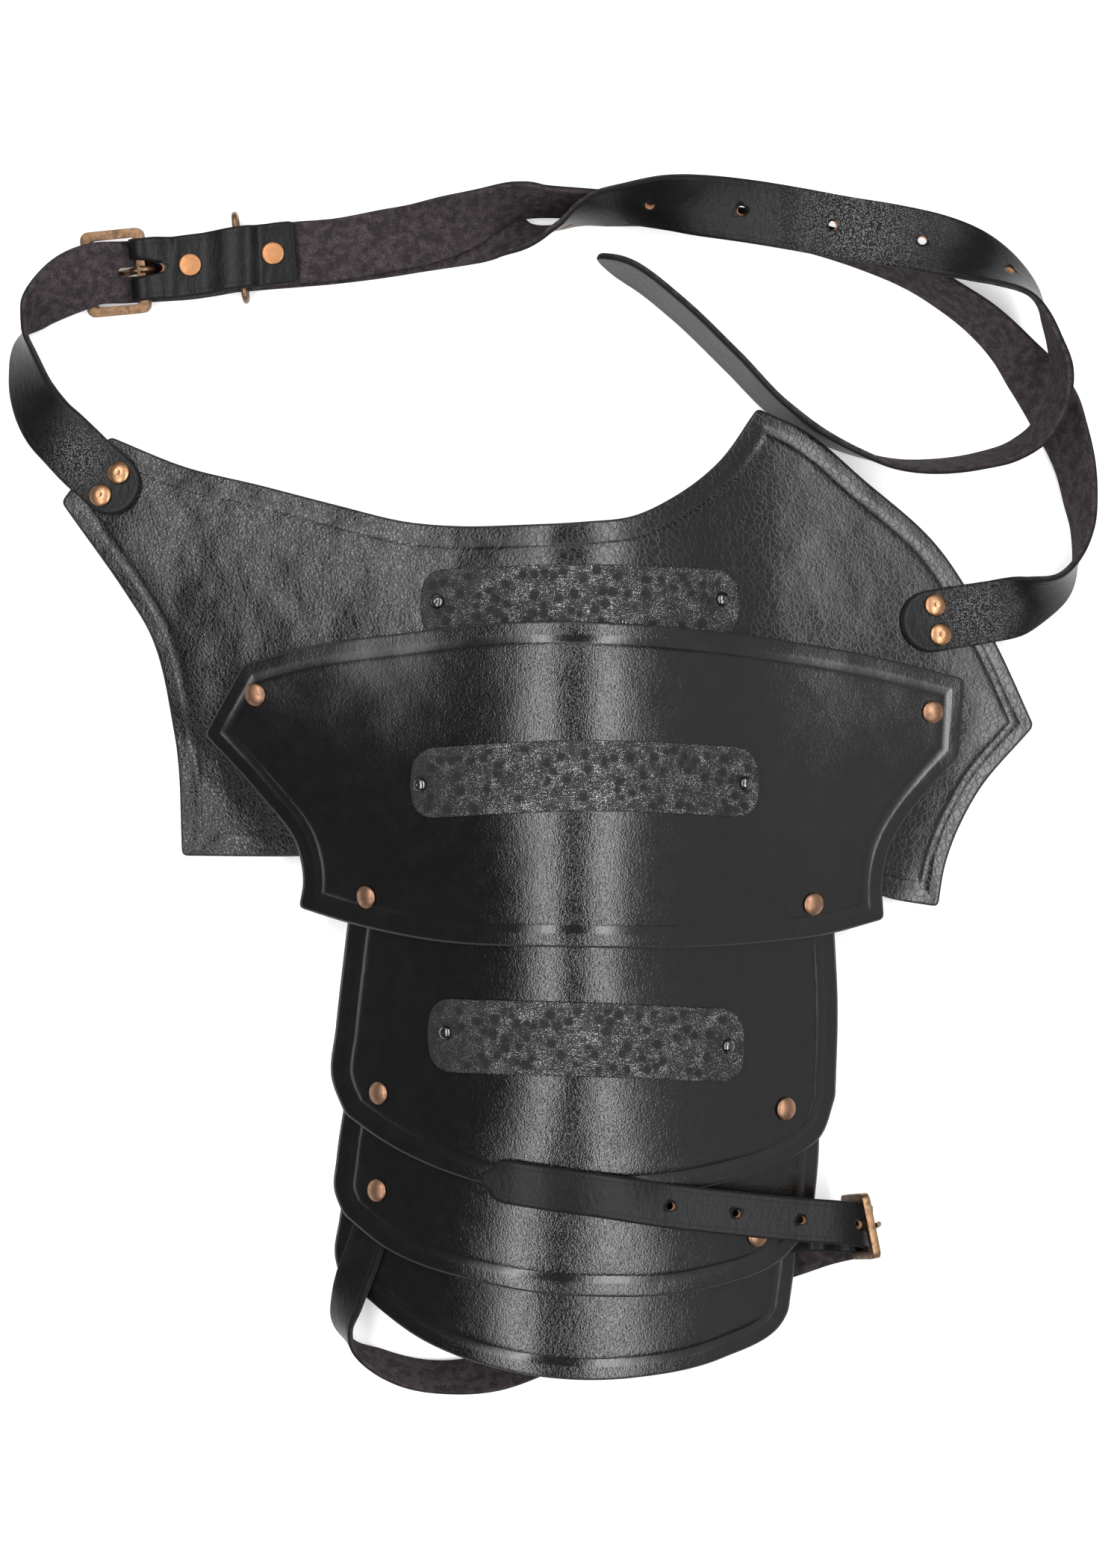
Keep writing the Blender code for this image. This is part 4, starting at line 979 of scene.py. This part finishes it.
def laid(lift, bearing, *places, turn=0):
    """Stations laid on the surface with this lift, their rolls following its slope."""
    left = width_direction(bearing, 0)
    stations = []
    for x, y in places:
        point, normal = on_surface(x, y, lift)
        roll = turn + math.degrees(math.atan2(-left @ normal, normal[2]))
        kept = (bearing,) if turn else ()
        stations.append((x, y, float(point[2]), roll, *kept))
    return stations


# %% Bars, holes and rivets of the straps
CHEST_BAR = (-179.0, 220.6, 11.9)        # middle of the chest buckle's heel bar
CHEST_TOE = (-202.6, 218.7, 5.9)         # and of its toe bar
CHEST_BEARING = 184.0                    # the buckle points this way
CHEST_ROLL = 173.0                       # one of its sides stands a little higher
CHEST_BAR_HALF = 16.2                    # half its width, to the middle of the side bars
CHEST_WRAP = 4.0                         # radius of the strap's middle layer round the bar
ARM_BAR = (124.8, -190.9, 14.0)          # the same for the arm buckle, which has no roll
ARM_TOE = (130.8, -185.2, 37.0)
ARM_BEARING = 5.0
ARM_BAR_HALF = 12.2
ARM_WRAP = 3.9
BILLET_HOLES = (183.2, 39.4, 10)         # distance to the first hole, pitch, how many
ARM_HOLES = (348, 374, 403, 432)         # distances to the arm billet's holes
CHEST_RIVETS = (
    # x, y, height of the strap's middle layer
    (-187.9, 132.4, 17.5), (-195.7, 123.1, 16.9), (159.6, 76.4, 16.4), (162.2, 63.9, 16.2),
)
FOLD_RIVETS = (
    # x, y, height of the fold, height of the strap under it
    (-158.5, 222.5, 11.2, 7.9), (-123, 227.4, 11.2, 7.9),
)

# %% The chest straps' courses
CHEST_BILLET = (
    # x, y, z, roll
    *laid(CHEST_LEATHER / 2 + GAP, 133, (-184, 118), (-192, 128), (-203, 138)),
    (-212, 147, 13.2, -13), (-219, 154, 11.8, -22), (-226, 166, 11, -38), (-229, 177, 11.8, -52),
    (-230, 187, 12.8, -66), (-229, 194, 13.4, -84),
    (-225, 202, 12.8, -112), (-216, 210.5, 12.5, -138), (-207, 216, 12.2, -160),
    (-199, 218.8, 12.2, -174), (-193, 219.6, 9.7, -175), (-188, 220, 7.2, -174),
    (-184, 220.4, 5.8, -174), (-179, 220.8, 4.2, -174), (-170, 221.4, 3.3, -176),
    (-161, 222, 3.2, -178), (-150, 223.5, 3.4, -180), (-140, 225, 4.7, -180),
    (-134, 225.5, 4.6, -180), (-127, 226.3, 3.3, -180), (-119, 227, 2.8, -180),
    (-97, 229, 2.0, -180), (-74, 232, 1.7, -180), (-61, 234, 2.0, -182), (-48, 235.5, 3.2, -188),
    (-32, 236, 6.7, -203), (-24, 235.3, 9.2, -219), (-16, 234.7, 12, -238),
    (-3, 238, 13.5, -262), (5, 241.3, 14.6, -272), (16, 244.4, 18.5, -290),
    (29, 246, 25.2, -300), (44, 246.5, 28.8, -318), (62, 244.8, 31, -336), (79, 242.3, 33.8, -344),
    (98, 238.8, 36.6, -350), (120, 235.5, 32.3, -356), (140, 233, 28.6, -361),
    (160, 229, 28.6, -370), (176, 224, 30, -388), (188, 218, 31, -408), (199, 209, 32.5, -430),
    (205, 198, 34.2, -446), (209, 187, 35.2, -452), (212, 174, 35.2, -460),
    (210, 161, 33.5, -464), (204, 150, 29, -466), (193, 142, 23, -466), (179, 138, 18.5, -465),
    (163, 136, 15.5, -464), (144, 137, 14, -460), (129, 141.5, 13.5, -454),
    (112, 149, 13.5, -447), (95, 160, 13.5, -440), (74, 181, 13.5, -438),
    (50, 204, 13.5, -438), (32, 218, 13.5, -438), (16, 226, 13.5, -440),
)
CHEST_BUCKLE = (
    # x, y, z, roll and, round the buckle, the bearing
    *laid(CHEST_LEATHER / 2 + GAP, 11, (146, 67), (153, 68.5), (161, 70), (176, 72.6),
          (186, 74.2)),
    (195, 76, 11.3, 16), (204, 79, 11.4, 42),
    (215, 85, 12.8, 66), (222, 98, 13.5, 88), (224, 110, 13.2, 101),
    (223, 123, 12.9, 112), (221, 136, 12.5, 119), (217, 149, 11.6, 128), (211, 163, 9.6, 142),
    (203, 175, 10.4, 136), (194, 186, 12.2, 122), (181, 199, 12.8, 115), (167, 209, 13.2, 110),
    (152, 218, 13.4, 108), (131, 227, 13.4, 108), (112, 233, 13.4, 107), (93, 238, 13.4, 107),
    (74, 241, 13.4, 106), (54, 244, 13.4, 106), (35, 246, 13.4, 106), (19, 248, 13.4, 106),
    (4, 249, 13.4, 107), (-10, 249.3, 15, 109), (-19, 248.4, 18.4, 116), (-32, 244, 20.8, 128),
    (-48, 239, 15, 152), (-61, 236, 9.6, 166), (-74, 234, 7, 174), (-96, 230, 6.8, 180),
    (-114, 228.4, 7.6, 180), (-119, 227.8, 7.9, 180), (-128, 226.6, 8, 180), (-140, 225, 8.1, 180),
    (-153, 223.2, 7.9, 180), (-164, 221.8, 7.9, 178), (-173, 221, 7.9, 173, CHEST_BEARING),
    *round_bar(CHEST_BAR, CHEST_WRAP, -90, 90, CHEST_ROLL, CHEST_BEARING),
    (-173, 221, 14.6, 174, 184), (-168, 221.3, 12.2, 176, 182), (-164.5, 221.6, 11.3, 178, 180),
    (-162, 222, 11.2, 180, 180), (-155, 222.9, 11.2, 180, 180), (-152.5, 223.2, 11.3, 180, 180),
    (-148, 223.9, 12.4, 180, 180), (-142.5, 224.7, 14.3, 180, 180), (-133.5, 226, 14.3, 180, 180),
    (-129, 226.6, 11.6, 180, 180), (-127, 226.9, 11.2, 180, 180), (-125, 227.1, 11.2, 180, 180),
    (-120, 227.8, 11.2, 180, 180), (-113, 228.4, 11.2, 180, 180),
)

# %% The arm straps' courses
ARM_BILLET = (
    # x, y, z, roll
    *laid(ARM_STRAP_LIFT, -108, (-74, -163), (-75.5, -174), (-79, -186), (-83, -197),
          (-87, -208)),
    (-91, -220, 14.6, 42), (-93.5, -231, 11.8, 62), (-89, -241, 10.4, 88),
    (-78, -248, 9.5, 112), (-65, -253, 8.9, 122), (-48, -255, 8.3, 128), (-29, -253, 7, 142),
    (-10, -246, 4.6, 160), (16, -234, 1.5, 180), (48, -219, 1.3, 180), (81, -209, 1.3, 180),
    (101, -203, 1.3, 180), (116, -198, 1.6, 180, 12), (126, -195.5, 3.0, 180, 4),
    (131.2, -193.5, 8, 180, 0), (132.3, -191.5, 14, 180, 0), (132.3, -189.5, 20, 180, 0),
    (131.2, -188.2, 25.5, 180, 0), (128, -187, 30.5, 180, 0), (123, -186, 33.6, 180, 0),
    (101, -183.5, 40.5, 180, 0), (74, -180, 47.8, 180, 0), (46, -176, 55.5, 180, 0),
    *laid(ARM_LEATHER / 2 + GAP + 0.1, 0, (24, -172), (15, -170.4), (5, -169), (-5, -167.5),
          (-16, -166), (-33, -164), turn=180),
)
ARM_BUCKLE = (
    # x, y, z, roll and, round the buckle, the bearing
    *laid(ARM_STRAP_LIFT, 0, (74, -191.6), (84, -191.4), (93, -191.3), (101, -191.2),
          (108, -191.1)),
    (113, -191, 11.9, 0), (118, -191, 15.2, 0),
    *round_bar(ARM_BAR, ARM_WRAP, 90, -90, 0, ARM_BEARING),
    (119, -191.4, 9.2, 0, ARM_BEARING), (114, -191.8, 8.4, 0, ARM_BEARING),
)
chest_billet = course_of(CHEST_BILLET)
chest_buckle = course_of(CHEST_BUCKLE)
arm_billet = course_of(ARM_BILLET)
arm_buckle = course_of(ARM_BUCKLE)
print("straps of", [round(float(course[0][-1])) for course in
                    (chest_billet, chest_buckle, arm_billet, arm_buckle)], "mm")

# %% Ends and holes of a strap
STRAP_BORDER = ((0.0, -0.75), (0.22, -0.34), (0.6, -0.10), (1.2, 0.0), (2.0, 0.03))
STRAP_CORNER = 2.6                       # radius of a square end's corners


def round_end(half):
    """Half an end: points from its tip to its edge, as far along and as far aside."""
    return [(half * (1 - math.cos(a)), half * math.sin(a)) for a in np.radians(range(0, 91, 6))]


def pointed_end(half):
    """The same for an end that tapers to a blunt point."""
    tip = [(0, 0), (0.9, half * 0.22), (4, half * 0.52), (half * 0.75, half * 0.86),
           (half * 1.25, half)]
    return [tuple(p) for p in bend_through(tip, 1.0)]


def square_end(half):
    """The same for an end cut straight across."""
    return [(0, w) for w in np.linspace(0, half - STRAP_CORNER, 8)] + [
        (STRAP_CORNER * (1 - math.cos(a)), half - STRAP_CORNER * (1 - math.sin(a)))
        for a in np.radians((18, 36, 54, 72, 90))]


def punch(middle, radius, extra=0.0):
    """A round hole in a strap's pattern, or a slot where it has extra length."""
    return np.array([(middle[0] + math.copysign(extra / 2, math.cos(a)) + radius * math.cos(a),
                      middle[1] + radius * math.sin(a)) for a in CIRCLE + 0.01])


def slot_between(course, start, end, radius):
    """A slot for a prong, from one point of a strap's course to another."""
    first, last = spot(course, start)[0], spot(course, end)[0]
    return punch(((first + last) / 2, 0), radius, last - first)


# %% The straps
STRAP_STEP = 1.6                         # spacing of the points along an edge
# spots on the straps that are rubbed smoother and carry a painted highlight on their grain
RUBBED_AND_HIGHLIT = ((126, 237, 26), (178, 73, 15), (-206, 140, 12))     # x, y and reach, in mm


def lay_strap(name, course, width, thickness, ends, punched):
    """A strap with its holes, bent along its course."""
    length, half = course[0][-1], width / 2
    start, end = ends[0](half), ends[1](half)
    middle = np.linspace(start[-1][0], length - end[-1][0], int(length / STRAP_STEP))[1:-1]
    rim = start + [(s, half) for s in middle] + [(length - s, w) for s, w in end[::-1]]
    outline = np.array(rim[:-1] + [(s, -w) for s, w in rim[:0:-1]])
    depths, heights = zip(*STRAP_BORDER)
    lines = [shrunk(outline, depth) for depth in depths]
    inner = honeycomb(lines[-1], across=2.0, along=2.0, margin=1.0, holes=punched)

    def bend(flat, height):
        centre, normal = place_on(course, flat[:, 0], flat[:, 1])
        return centre + normal * (thickness / 2 + height)[:, None]

    strap = cut_sheet(name + "_leather", lines, heights, depths, inner, punched, bend, thickness)
    places = places_of(strap)
    give(strap, lively=sum(np.exp(-np.hypot(places[:, 0] - x, places[:, 1] - y) ** 2 / reach ** 2)
                           for x, y, reach in RUBBED_AND_HIGHLIT))
    finished(strap, strap_leather, "strap_leather", name)


def under_rivet(rivet, course):
    """Where a rivet through the lames pierces an arm strap, which lies under them."""
    x, y, outermost, _ = rivet
    top, axis = on_surface(x, y, lifts[outermost])
    return spot(course, top + (ARM_STRAP_LIFT - lifts[outermost]) * axis)


first, pitch, count = BILLET_HOLES
lay_strap("chest_billet_strap", chest_billet, CHEST_WIDTH, CHEST_LEATHER,
          (round_end, pointed_end),
          [punch(spot(chest_billet, row), HOLE) for row in CHEST_RIVETS[:2]]
          + [punch((first + pitch * k, 0), 2.0) for k in range(count)]
          + [slot_between(chest_billet, (-188.5, 220, 7.4), (-179, 220.8, 4.2), 2.0)])
lay_strap("chest_buckle_strap", chest_buckle, CHEST_WIDTH, CHEST_LEATHER,
          (round_end, square_end),
          [punch(spot(chest_buckle, row), HOLE) for row in CHEST_RIVETS[2:]]
          + [punch(spot(chest_buckle, (x, y, z)), HOLE)
             for x, y, *heights in FOLD_RIVETS for z in heights]
          + [slot_between(chest_buckle, (-172, 221.1, 7.9), (-171.5, 221.1, 14.0), 2.0)])
lay_strap("arm_billet_strap", arm_billet, ARM_WIDTH, ARM_LEATHER, (square_end, pointed_end),
          [punch(under_rivet(LAME_RIVETS[6], arm_billet), HOLE)]
          + [punch((along, 0), 1.7) for along in ARM_HOLES]
          + [slot_between(arm_billet, (132.3, -190, 19.3), (129.2, -187.4, 29), 1.8)])
lay_strap("arm_buckle_strap", arm_buckle, ARM_WIDTH, ARM_LEATHER, (square_end, square_end),
          [punch(under_rivet(LAME_RIVETS[7], arm_buckle), HOLE)]
          + [slot_between(arm_buckle, (125, -190.9, 17.9), (119.8, -191.3, 9.3), 1.8)])

# %% [markdown]
# ## The hammered strips
#
# Each strip is a thin steel bar with rounded corners, laid across the ridge and struck all
# over with a ball hammer.

# %% A strip's pattern, and the hammer's blows
STRIP_BORDER = ((0, -0.30), (0.12, -0.12), (0.35, -0.02), (0.9, 0.0))
STRIP_CORNER = 9.5                       # radius of a strip's corners, in mm
STRIP_STEP = 0.9
SWELL = 0.5                              # how much a strip's ends bulge, in mm
BLOWS = 62                               # at most, on one strip
TRIES = 4000                             # at placing one
DENT = 0.28                              # depth of a blow, in mm
blows = np.random.default_rng(7)


def strip_pattern(left_x, left_y, middle_y, right_x, right_y, half):
    """Outline of a strip with rounded corners whose centre line bends through three points."""
    line = bend_through([(left_x, left_y), ((left_x + right_x) / 2, middle_y),
                         (right_x, right_y)], STRIP_STEP)
    corner = STRIP_CORNER
    arc = np.radians(np.arange(90, -1, -10))
    upper = [(line[-1][0] - corner + corner * math.cos(a), half - corner + corner * math.sin(a))
             for a in arc]
    bulge = [(line[-1][0] + SWELL * (1 - (w / (half - corner)) ** 2), w)
             for w in np.linspace(half - corner, corner - half, 7)[1:-1]]
    right = upper + bulge + [(x, -w) for x, w in upper[::-1]]
    left = [(left_x + right_x - x, -w) for x, w in right]
    top = [(x, half) for x in line[:, 0] if left_x + corner + 0.5 < x < right_x - corner - 0.5]
    loop = np.array(top + right + [(x, -w) for x, w in top[::-1]] + left)
    loop[:, 1] += np.interp(loop[:, 0], line[:, 0], line[:, 1])
    return loop


def struck_at(left_x, left_y, middle_y, right_x, right_y, half):
    """Places and sizes of the hammer's blows, spread at random and hardly overlapping."""
    struck = []
    for _ in range(TRIES):
        x = blows.uniform(left_x + 4, right_x - 4)
        y = blows.uniform(-half + 2.5, half - 2.5) + np.interp(
            x, (left_x, (left_x + right_x) / 2, right_x), (left_y, middle_y, right_y))
        size = blows.uniform(1.6, 2.3)
        if len(struck) < BLOWS and all(math.hypot(x - a, y - b) > 0.82 * (size + r)
                                       for a, b, r in struck):
            struck.append((x, y, size))
    return struck


def dents(struck, flat):
    """How deep in a dent each place lies, from 0 to 1."""
    sunk = np.zeros(len(flat))
    for x, y, size in struck:
        away = np.hypot(flat[:, 0] - x, flat[:, 1] - y) / size
        sunk = np.maximum(sunk, np.clip(1 - away ** 2, 0, 1))
    return sunk


# %% The strips
for name, (shape, _) in STRIPS.items():
    outline = strip_pattern(*shape)
    struck = struck_at(*shape)
    depths, heights = zip(*STRIP_BORDER)
    lines = [shrunk(outline, depth) for depth in depths]
    inner = honeycomb(lines[-1], across=0.95, along=0.85, margin=0.45, holes=holes[name])

    def bend(flat, height, lift=lifts[name], struck=struck):
        return on_surface(*flat.T, lift + height - DENT * dents(struck, flat))[0]

    piece = cut_sheet(name + "_hammered", lines, heights, depths, inner, holes[name], bend, STRIP,
                      raw=0.0)
    places = places_of(piece)
    # the last attribute is 1 at the strip's left end and 0 from 34 mm on; it thins the bright grit,
    # so that the steel is darker towards that end
    give(piece, blow=np.clip(4 * dents(struck, places), 0, 1),
         faded=np.clip((shape[0] + 34 - places[:, 0]) / 32, 0, 1))
    finished(piece, steel, "steel", name)

# %% [markdown]
# ## Rivets
#
# A rivet is turned: a disc is extruded upwards and scaled at each step, back cap, shank and
# head in one piece. Its back cap lies as deep as the layers that it holds are thick.

# %% Turned pieces
AROUND = 40                              # sides of a turned piece


def rounded_edges(piece, width, segments, sharp, smooth):
    """Bevel the edges sharper than one angle and smooth those blunter than another."""
    rounding = piece.modifiers.new("rounding", "BEVEL")
    rounding.width = width * MM
    rounding.segments = segments
    rounding.angle_limit = math.radians(sharp)
    bpy.ops.object.modifier_apply(modifier="rounding")
    bpy.ops.object.shade_smooth_by_angle(angle=math.radians(smooth))


def faces_outwards():
    """Turn the faces of the piece that is being edited outwards, and leave edit mode."""
    bpy.ops.mesh.select_all(action="SELECT")
    bpy.ops.mesh.normals_make_consistent(inside=False)
    bpy.ops.object.mode_set(mode="OBJECT")


def turned(name, steps, foot, axis):
    """A turned piece from (radius, height) steps in mm, standing on foot along an axis."""
    bpy.ops.object.select_all(action="DESELECT")
    radius, height = steps[0]
    bpy.ops.mesh.primitive_circle_add(vertices=AROUND, radius=radius * MM, fill_type="NGON",
                                      location=(0, 0, height * MM))
    piece = bpy.context.object
    piece.name = name
    bpy.ops.object.transform_apply(location=True)
    bpy.ops.object.mode_set(mode="EDIT")
    bpy.ops.mesh.select_all(action="SELECT")
    for radius_next, height_next in steps[1:]:
        bpy.ops.mesh.extrude_region_move(
            TRANSFORM_OT_translate={"value": (0, 0, (height_next - height) * MM)})
        grown = radius_next / radius
        bpy.ops.transform.resize(value=(grown, grown, 1), center_override=(0, 0, height_next * MM))
        radius, height = radius_next, height_next
    faces_outwards()
    rounded_edges(piece, width=0.12, segments=2, sharp=35, smooth=50)
    upright = Vector(axis).to_track_quat("Z", "Y").to_matrix().to_4x4()
    piece.matrix_world = Matrix.Translation(Vector((np.array(foot) - ORIGIN) * MM)) @ upright
    bpy.ops.object.transform_apply(location=True, rotation=True, scale=True)
    return piece


# %% The rivets
SEAT = 0.55                              # from the leather to the underside of a domed cap
DOMED_BACK = ((3.9, -0.9), (4.15, -0.3), (4.0, 0))
DOME = ((4.62, 0), (4.85, 0.22), (4.80, 0.45), (4.45, 0.82), (3.85, 1.18), (3.10, 1.47),
        (2.30, 1.70), (1.60, 1.84))
DIMPLE = ((1.15, 1.86), (0.85, 1.74), (0.45, 1.66))
CROWN = ((0.9, 1.92), (0.35, 1.95))
PIN_BACK = ((1.9, -0.6), (2.1, 0))
PIN_HEAD = ((2.80, 0), (3.0, 0.15), (2.98, 0.45), (2.75, 0.9), (2.35, 1.3), (1.8, 1.62),
            (1.2, 1.80), (0.7, 1.86), (0.45, 1.74))
FLAT_BACK = ((3.2, -0.6), (3.4, 0))
FLAT_HEAD = ((4.7, 0), (4.85, 0.15), (4.85, 0.55), (4.5, 0.85), (3.9, 0.92), (0.5, 1.0))


def rivet_steps(back, under, shank, over, head):
    """Steps of a rivet: its back cap hangs from under and its head stands on over."""
    return ([(radius, under + rise) for radius, rise in back]
            + [(shank, under + 0.01), (shank, over - 0.01)]
            + [(radius, over + rise) for radius, rise in head])


for number, place in enumerate(CHEST_RIVETS, 1):
    course = chest_billet if place[0] < 0 else chest_buckle
    middle, axis = place_on(course, *spot(course, place))
    top = middle + axis * CHEST_LEATHER / 2
    above = (top[2] - float(base_height(top[0], top[1]))) * axis[2]
    rivet_seats[f"chest_rivet_{number}"] = (top, axis, above + PLATE)

for name, (top, axis, grip) in rivet_seats.items():
    if name.startswith("strip"):
        under = -STRIP - GAP - PLATE - GAP
        piece = turned(name + "_pin", rivet_steps(PIN_BACK, under, PIN, GAP, PIN_HEAD), top, axis)
        finished(piece, black_pin, "black_steel", name)
    else:
        copper, tip = ((bright_copper, DIMPLE) if name.startswith("chest")
                       else (brown_copper, CROWN))
        steps = rivet_steps(DOMED_BACK, -grip - SEAT, SHANK, SEAT, DOME + tip)
        finished(turned(name + "_cap", steps, top, axis), copper, "copper", name)

for number, (x, y, fold, under) in enumerate(FOLD_RIVETS, 1):
    middle, axis = place_on(chest_buckle, *spot(chest_buckle, (x, y, fold)))
    grip = fold - under + CHEST_LEATHER
    steps = rivet_steps(FLAT_BACK, -grip - GAP, SHANK, GAP, FLAT_HEAD)
    piece = turned(f"fold_rivet_{number}_cap", steps, middle + axis * CHEST_LEATHER / 2, axis)
    finished(piece, flat_copper, "copper", f"fold_rivet_{number}")
print(len(rivet_seats) + len(FOLD_RIVETS), "rivets")

# %% [markdown]
# ## Buckles
#
# The frames are cast bars with a flat face and soft edges. A block is cut to the frame's
# size, its middle is opened by insetting and bridging, and its edges are bevelled.

# %% The buckles' frames
OUTER_BEVEL = 3.6                        # of a frame's upright edges, outside and inside
INNER_BEVEL = 2.0
FRAME_ROUNDING = 1.3


def buckle_frame(name, heel, toe, half, bar, thickness, bearing, roll):
    """A rectangular frame between the middles of its heel and toe bars."""
    across = width_direction(bearing, roll)
    heel, toe = np.array(heel), np.array(toe)
    reach = np.linalg.norm(toe - heel)
    ahead = (toe - heel) / reach
    size = Vector((reach + bar, 2 * half + bar, thickness)) * MM
    bpy.ops.object.select_all(action="DESELECT")
    bpy.ops.mesh.primitive_cube_add(size=1, location=(0, 0, 0))
    piece = bpy.context.object
    piece.name = name + "_cast"
    piece.scale = size
    bpy.ops.object.transform_apply(scale=True)
    bpy.ops.object.mode_set(mode="EDIT")
    bpy.ops.mesh.select_mode(type="FACE")
    bpy.ops.mesh.select_all(action="DESELECT")
    shape = bmesh.from_edit_mesh(piece.data)
    for face in shape.faces:
        face.select = abs(face.normal.z) > 0.9
    bmesh.update_edit_mesh(piece.data)
    bpy.ops.mesh.inset(thickness=bar * MM, use_boundary=True)
    bpy.ops.mesh.bridge_edge_loops()
    bpy.ops.mesh.select_mode(type="EDGE")
    for wanted, width in ((True, OUTER_BEVEL), (False, INNER_BEVEL)):
        bpy.ops.mesh.select_all(action="DESELECT")
        shape = bmesh.from_edit_mesh(piece.data)
        for edge in shape.edges:
            run = edge.verts[1].co - edge.verts[0].co
            outer = max(abs(edge.verts[0].co.x) - size.x / 2, abs(edge.verts[0].co.y) - size.y / 2)
            upright = abs(run.z) > 0.9 * run.length
            edge.select = upright and (outer > -0.5 * MM) == wanted
        bmesh.update_edit_mesh(piece.data)
        bpy.ops.mesh.bevel(offset=width * MM, segments=6)
    faces_outwards()
    rounded_edges(piece, FRAME_ROUNDING, segments=5, sharp=40, smooth=60)
    turn = np.eye(4)
    turn[:3, 0], turn[:3, 1], turn[:3, 2] = ahead, across, np.cross(ahead, across)
    turn[:3, 3] = ((heel + toe) / 2 - ORIGIN) * MM
    piece.matrix_world = Matrix(turn.tolist())
    bpy.ops.object.transform_apply(location=True, rotation=True, scale=True)
    print(piece.name, len(piece.data.polygons), "faces")
    finished(piece, old_brass, "antique_brass", name)


buckle_frame("chest_buckle_frame", CHEST_BAR, CHEST_TOE, CHEST_BAR_HALF, bar=4.0, thickness=3.8,
             bearing=CHEST_BEARING, roll=CHEST_ROLL)
buckle_frame("arm_buckle_frame", ARM_BAR, ARM_TOE, ARM_BAR_HALF, bar=3.6, thickness=3.6,
             bearing=ARM_BEARING, roll=0)

# %% Wire, bent along a path
def drawn_wire(name, path, radii, closed=False):
    """Round wire through these points in mm, thick as radii says at each."""
    curve = bpy.data.curves.new(name, "CURVE")
    curve.dimensions = "3D"
    curve.bevel_depth = MM
    curve.bevel_resolution = 6
    curve.use_fill_caps = True
    line = curve.splines.new("NURBS")
    line.points.add(len(path) - 1)
    for point, place, radius in zip(line.points, path, radii):
        point.co = (*((np.array(place) - ORIGIN) * MM), 1)
        point.radius = radius
    line.order_u = 3
    line.use_cyclic_u = closed
    line.use_endpoint_u = not closed
    line.resolution_u = 8
    piece = bpy.data.objects.new(name, curve)
    bpy.context.collection.objects.link(piece)
    bpy.ops.object.select_all(action="DESELECT")
    piece.select_set(True)
    bpy.context.view_layer.objects.active = piece
    bpy.ops.object.convert(target="MESH")
    piece = bpy.context.object
    bpy.ops.object.mode_set(mode="EDIT")
    bpy.ops.mesh.select_all(action="SELECT")
    bpy.ops.mesh.remove_doubles(threshold=0.01 * MM)
    faces_outwards()
    bpy.ops.object.shade_smooth_by_angle(angle=math.radians(60))
    print(piece.name, len(piece.data.polygons), "faces")
    return piece


# %% The prongs
def prong(name, bar, curl, pin, radius, tip):
    """A prong curled round a buckle's bar; pin runs on from the curl, measured from the bar."""
    path = [*(row[:3] for row in curl), *(np.array(bar) + np.array(pin))]
    piece = drawn_wire(name + "_wire", path, [radius] * (len(path) - 1) + [tip])
    finished(piece, old_brass, "antique_brass", name)


prong("chest_prong", CHEST_BAR,
      round_bar(CHEST_BAR, CHEST_WRAP, 80, 270, CHEST_ROLL, CHEST_BEARING, 8),
      ((-2.6, 0, -4.0), (-4.6, 0, -5.0), (-6.2, -0.2, -7.2), (-8.0, -0.4, -9.3),
       (-11, -0.7, -10.1), (-27, -2, -10.1)), radius=1.5, tip=1.1)
prong("arm_prong", ARM_BAR, round_bar(ARM_BAR, 3.4, 185, 360, 0, ARM_BEARING, 8),
      ((3.9, 0.7, 4), (5.0, 1.8, 8), (7.2, 2.6, 12), (9.6, 3.8, 16), (10.2, 4.8, 20),
       (9.7, 5.6, 24)), radius=1.2, tip=0.9)

# %% The keeper
def rounded_loop(corners, radius):
    """Closed path through corners that are each rounded."""
    corners = np.array(corners, float)
    path = []
    for before, tip, after in zip(np.roll(corners, 1, axis=0), corners,
                                  np.roll(corners, -1, axis=0)):
        start = tip + radius * (before - tip) / np.linalg.norm(before - tip)
        end = tip + radius * (after - tip) / np.linalg.norm(after - tip)
        for t in (0, 0.2, 0.4, 0.6, 0.8, 1):
            bulge = 1.72 * t * (1 - t)
            path.append((start * (1 - t) + end * t) * (1 - bulge) + tip * bulge)
    return path


ring = rounded_loop(((-135, 208, 1.5), (-140, 245, 1.5), (-140, 245, 11.1),
                     (-135, 208, 11.1)), 4.5)
piece = drawn_wire("keeper_ring_wire", ring, [1.4] * len(ring), closed=True)
finished(piece, old_brass, "antique_brass", "keeper_ring")

# %% The world's soft light
world = bpy.data.worlds.new("studio")
bpy.context.scene.world = world
world.use_nodes = True
world.node_tree.nodes["Background"].inputs["Color"].default_value = (1, 1, 1, 1)
world.node_tree.nodes["Background"].inputs["Strength"].default_value = 0.10
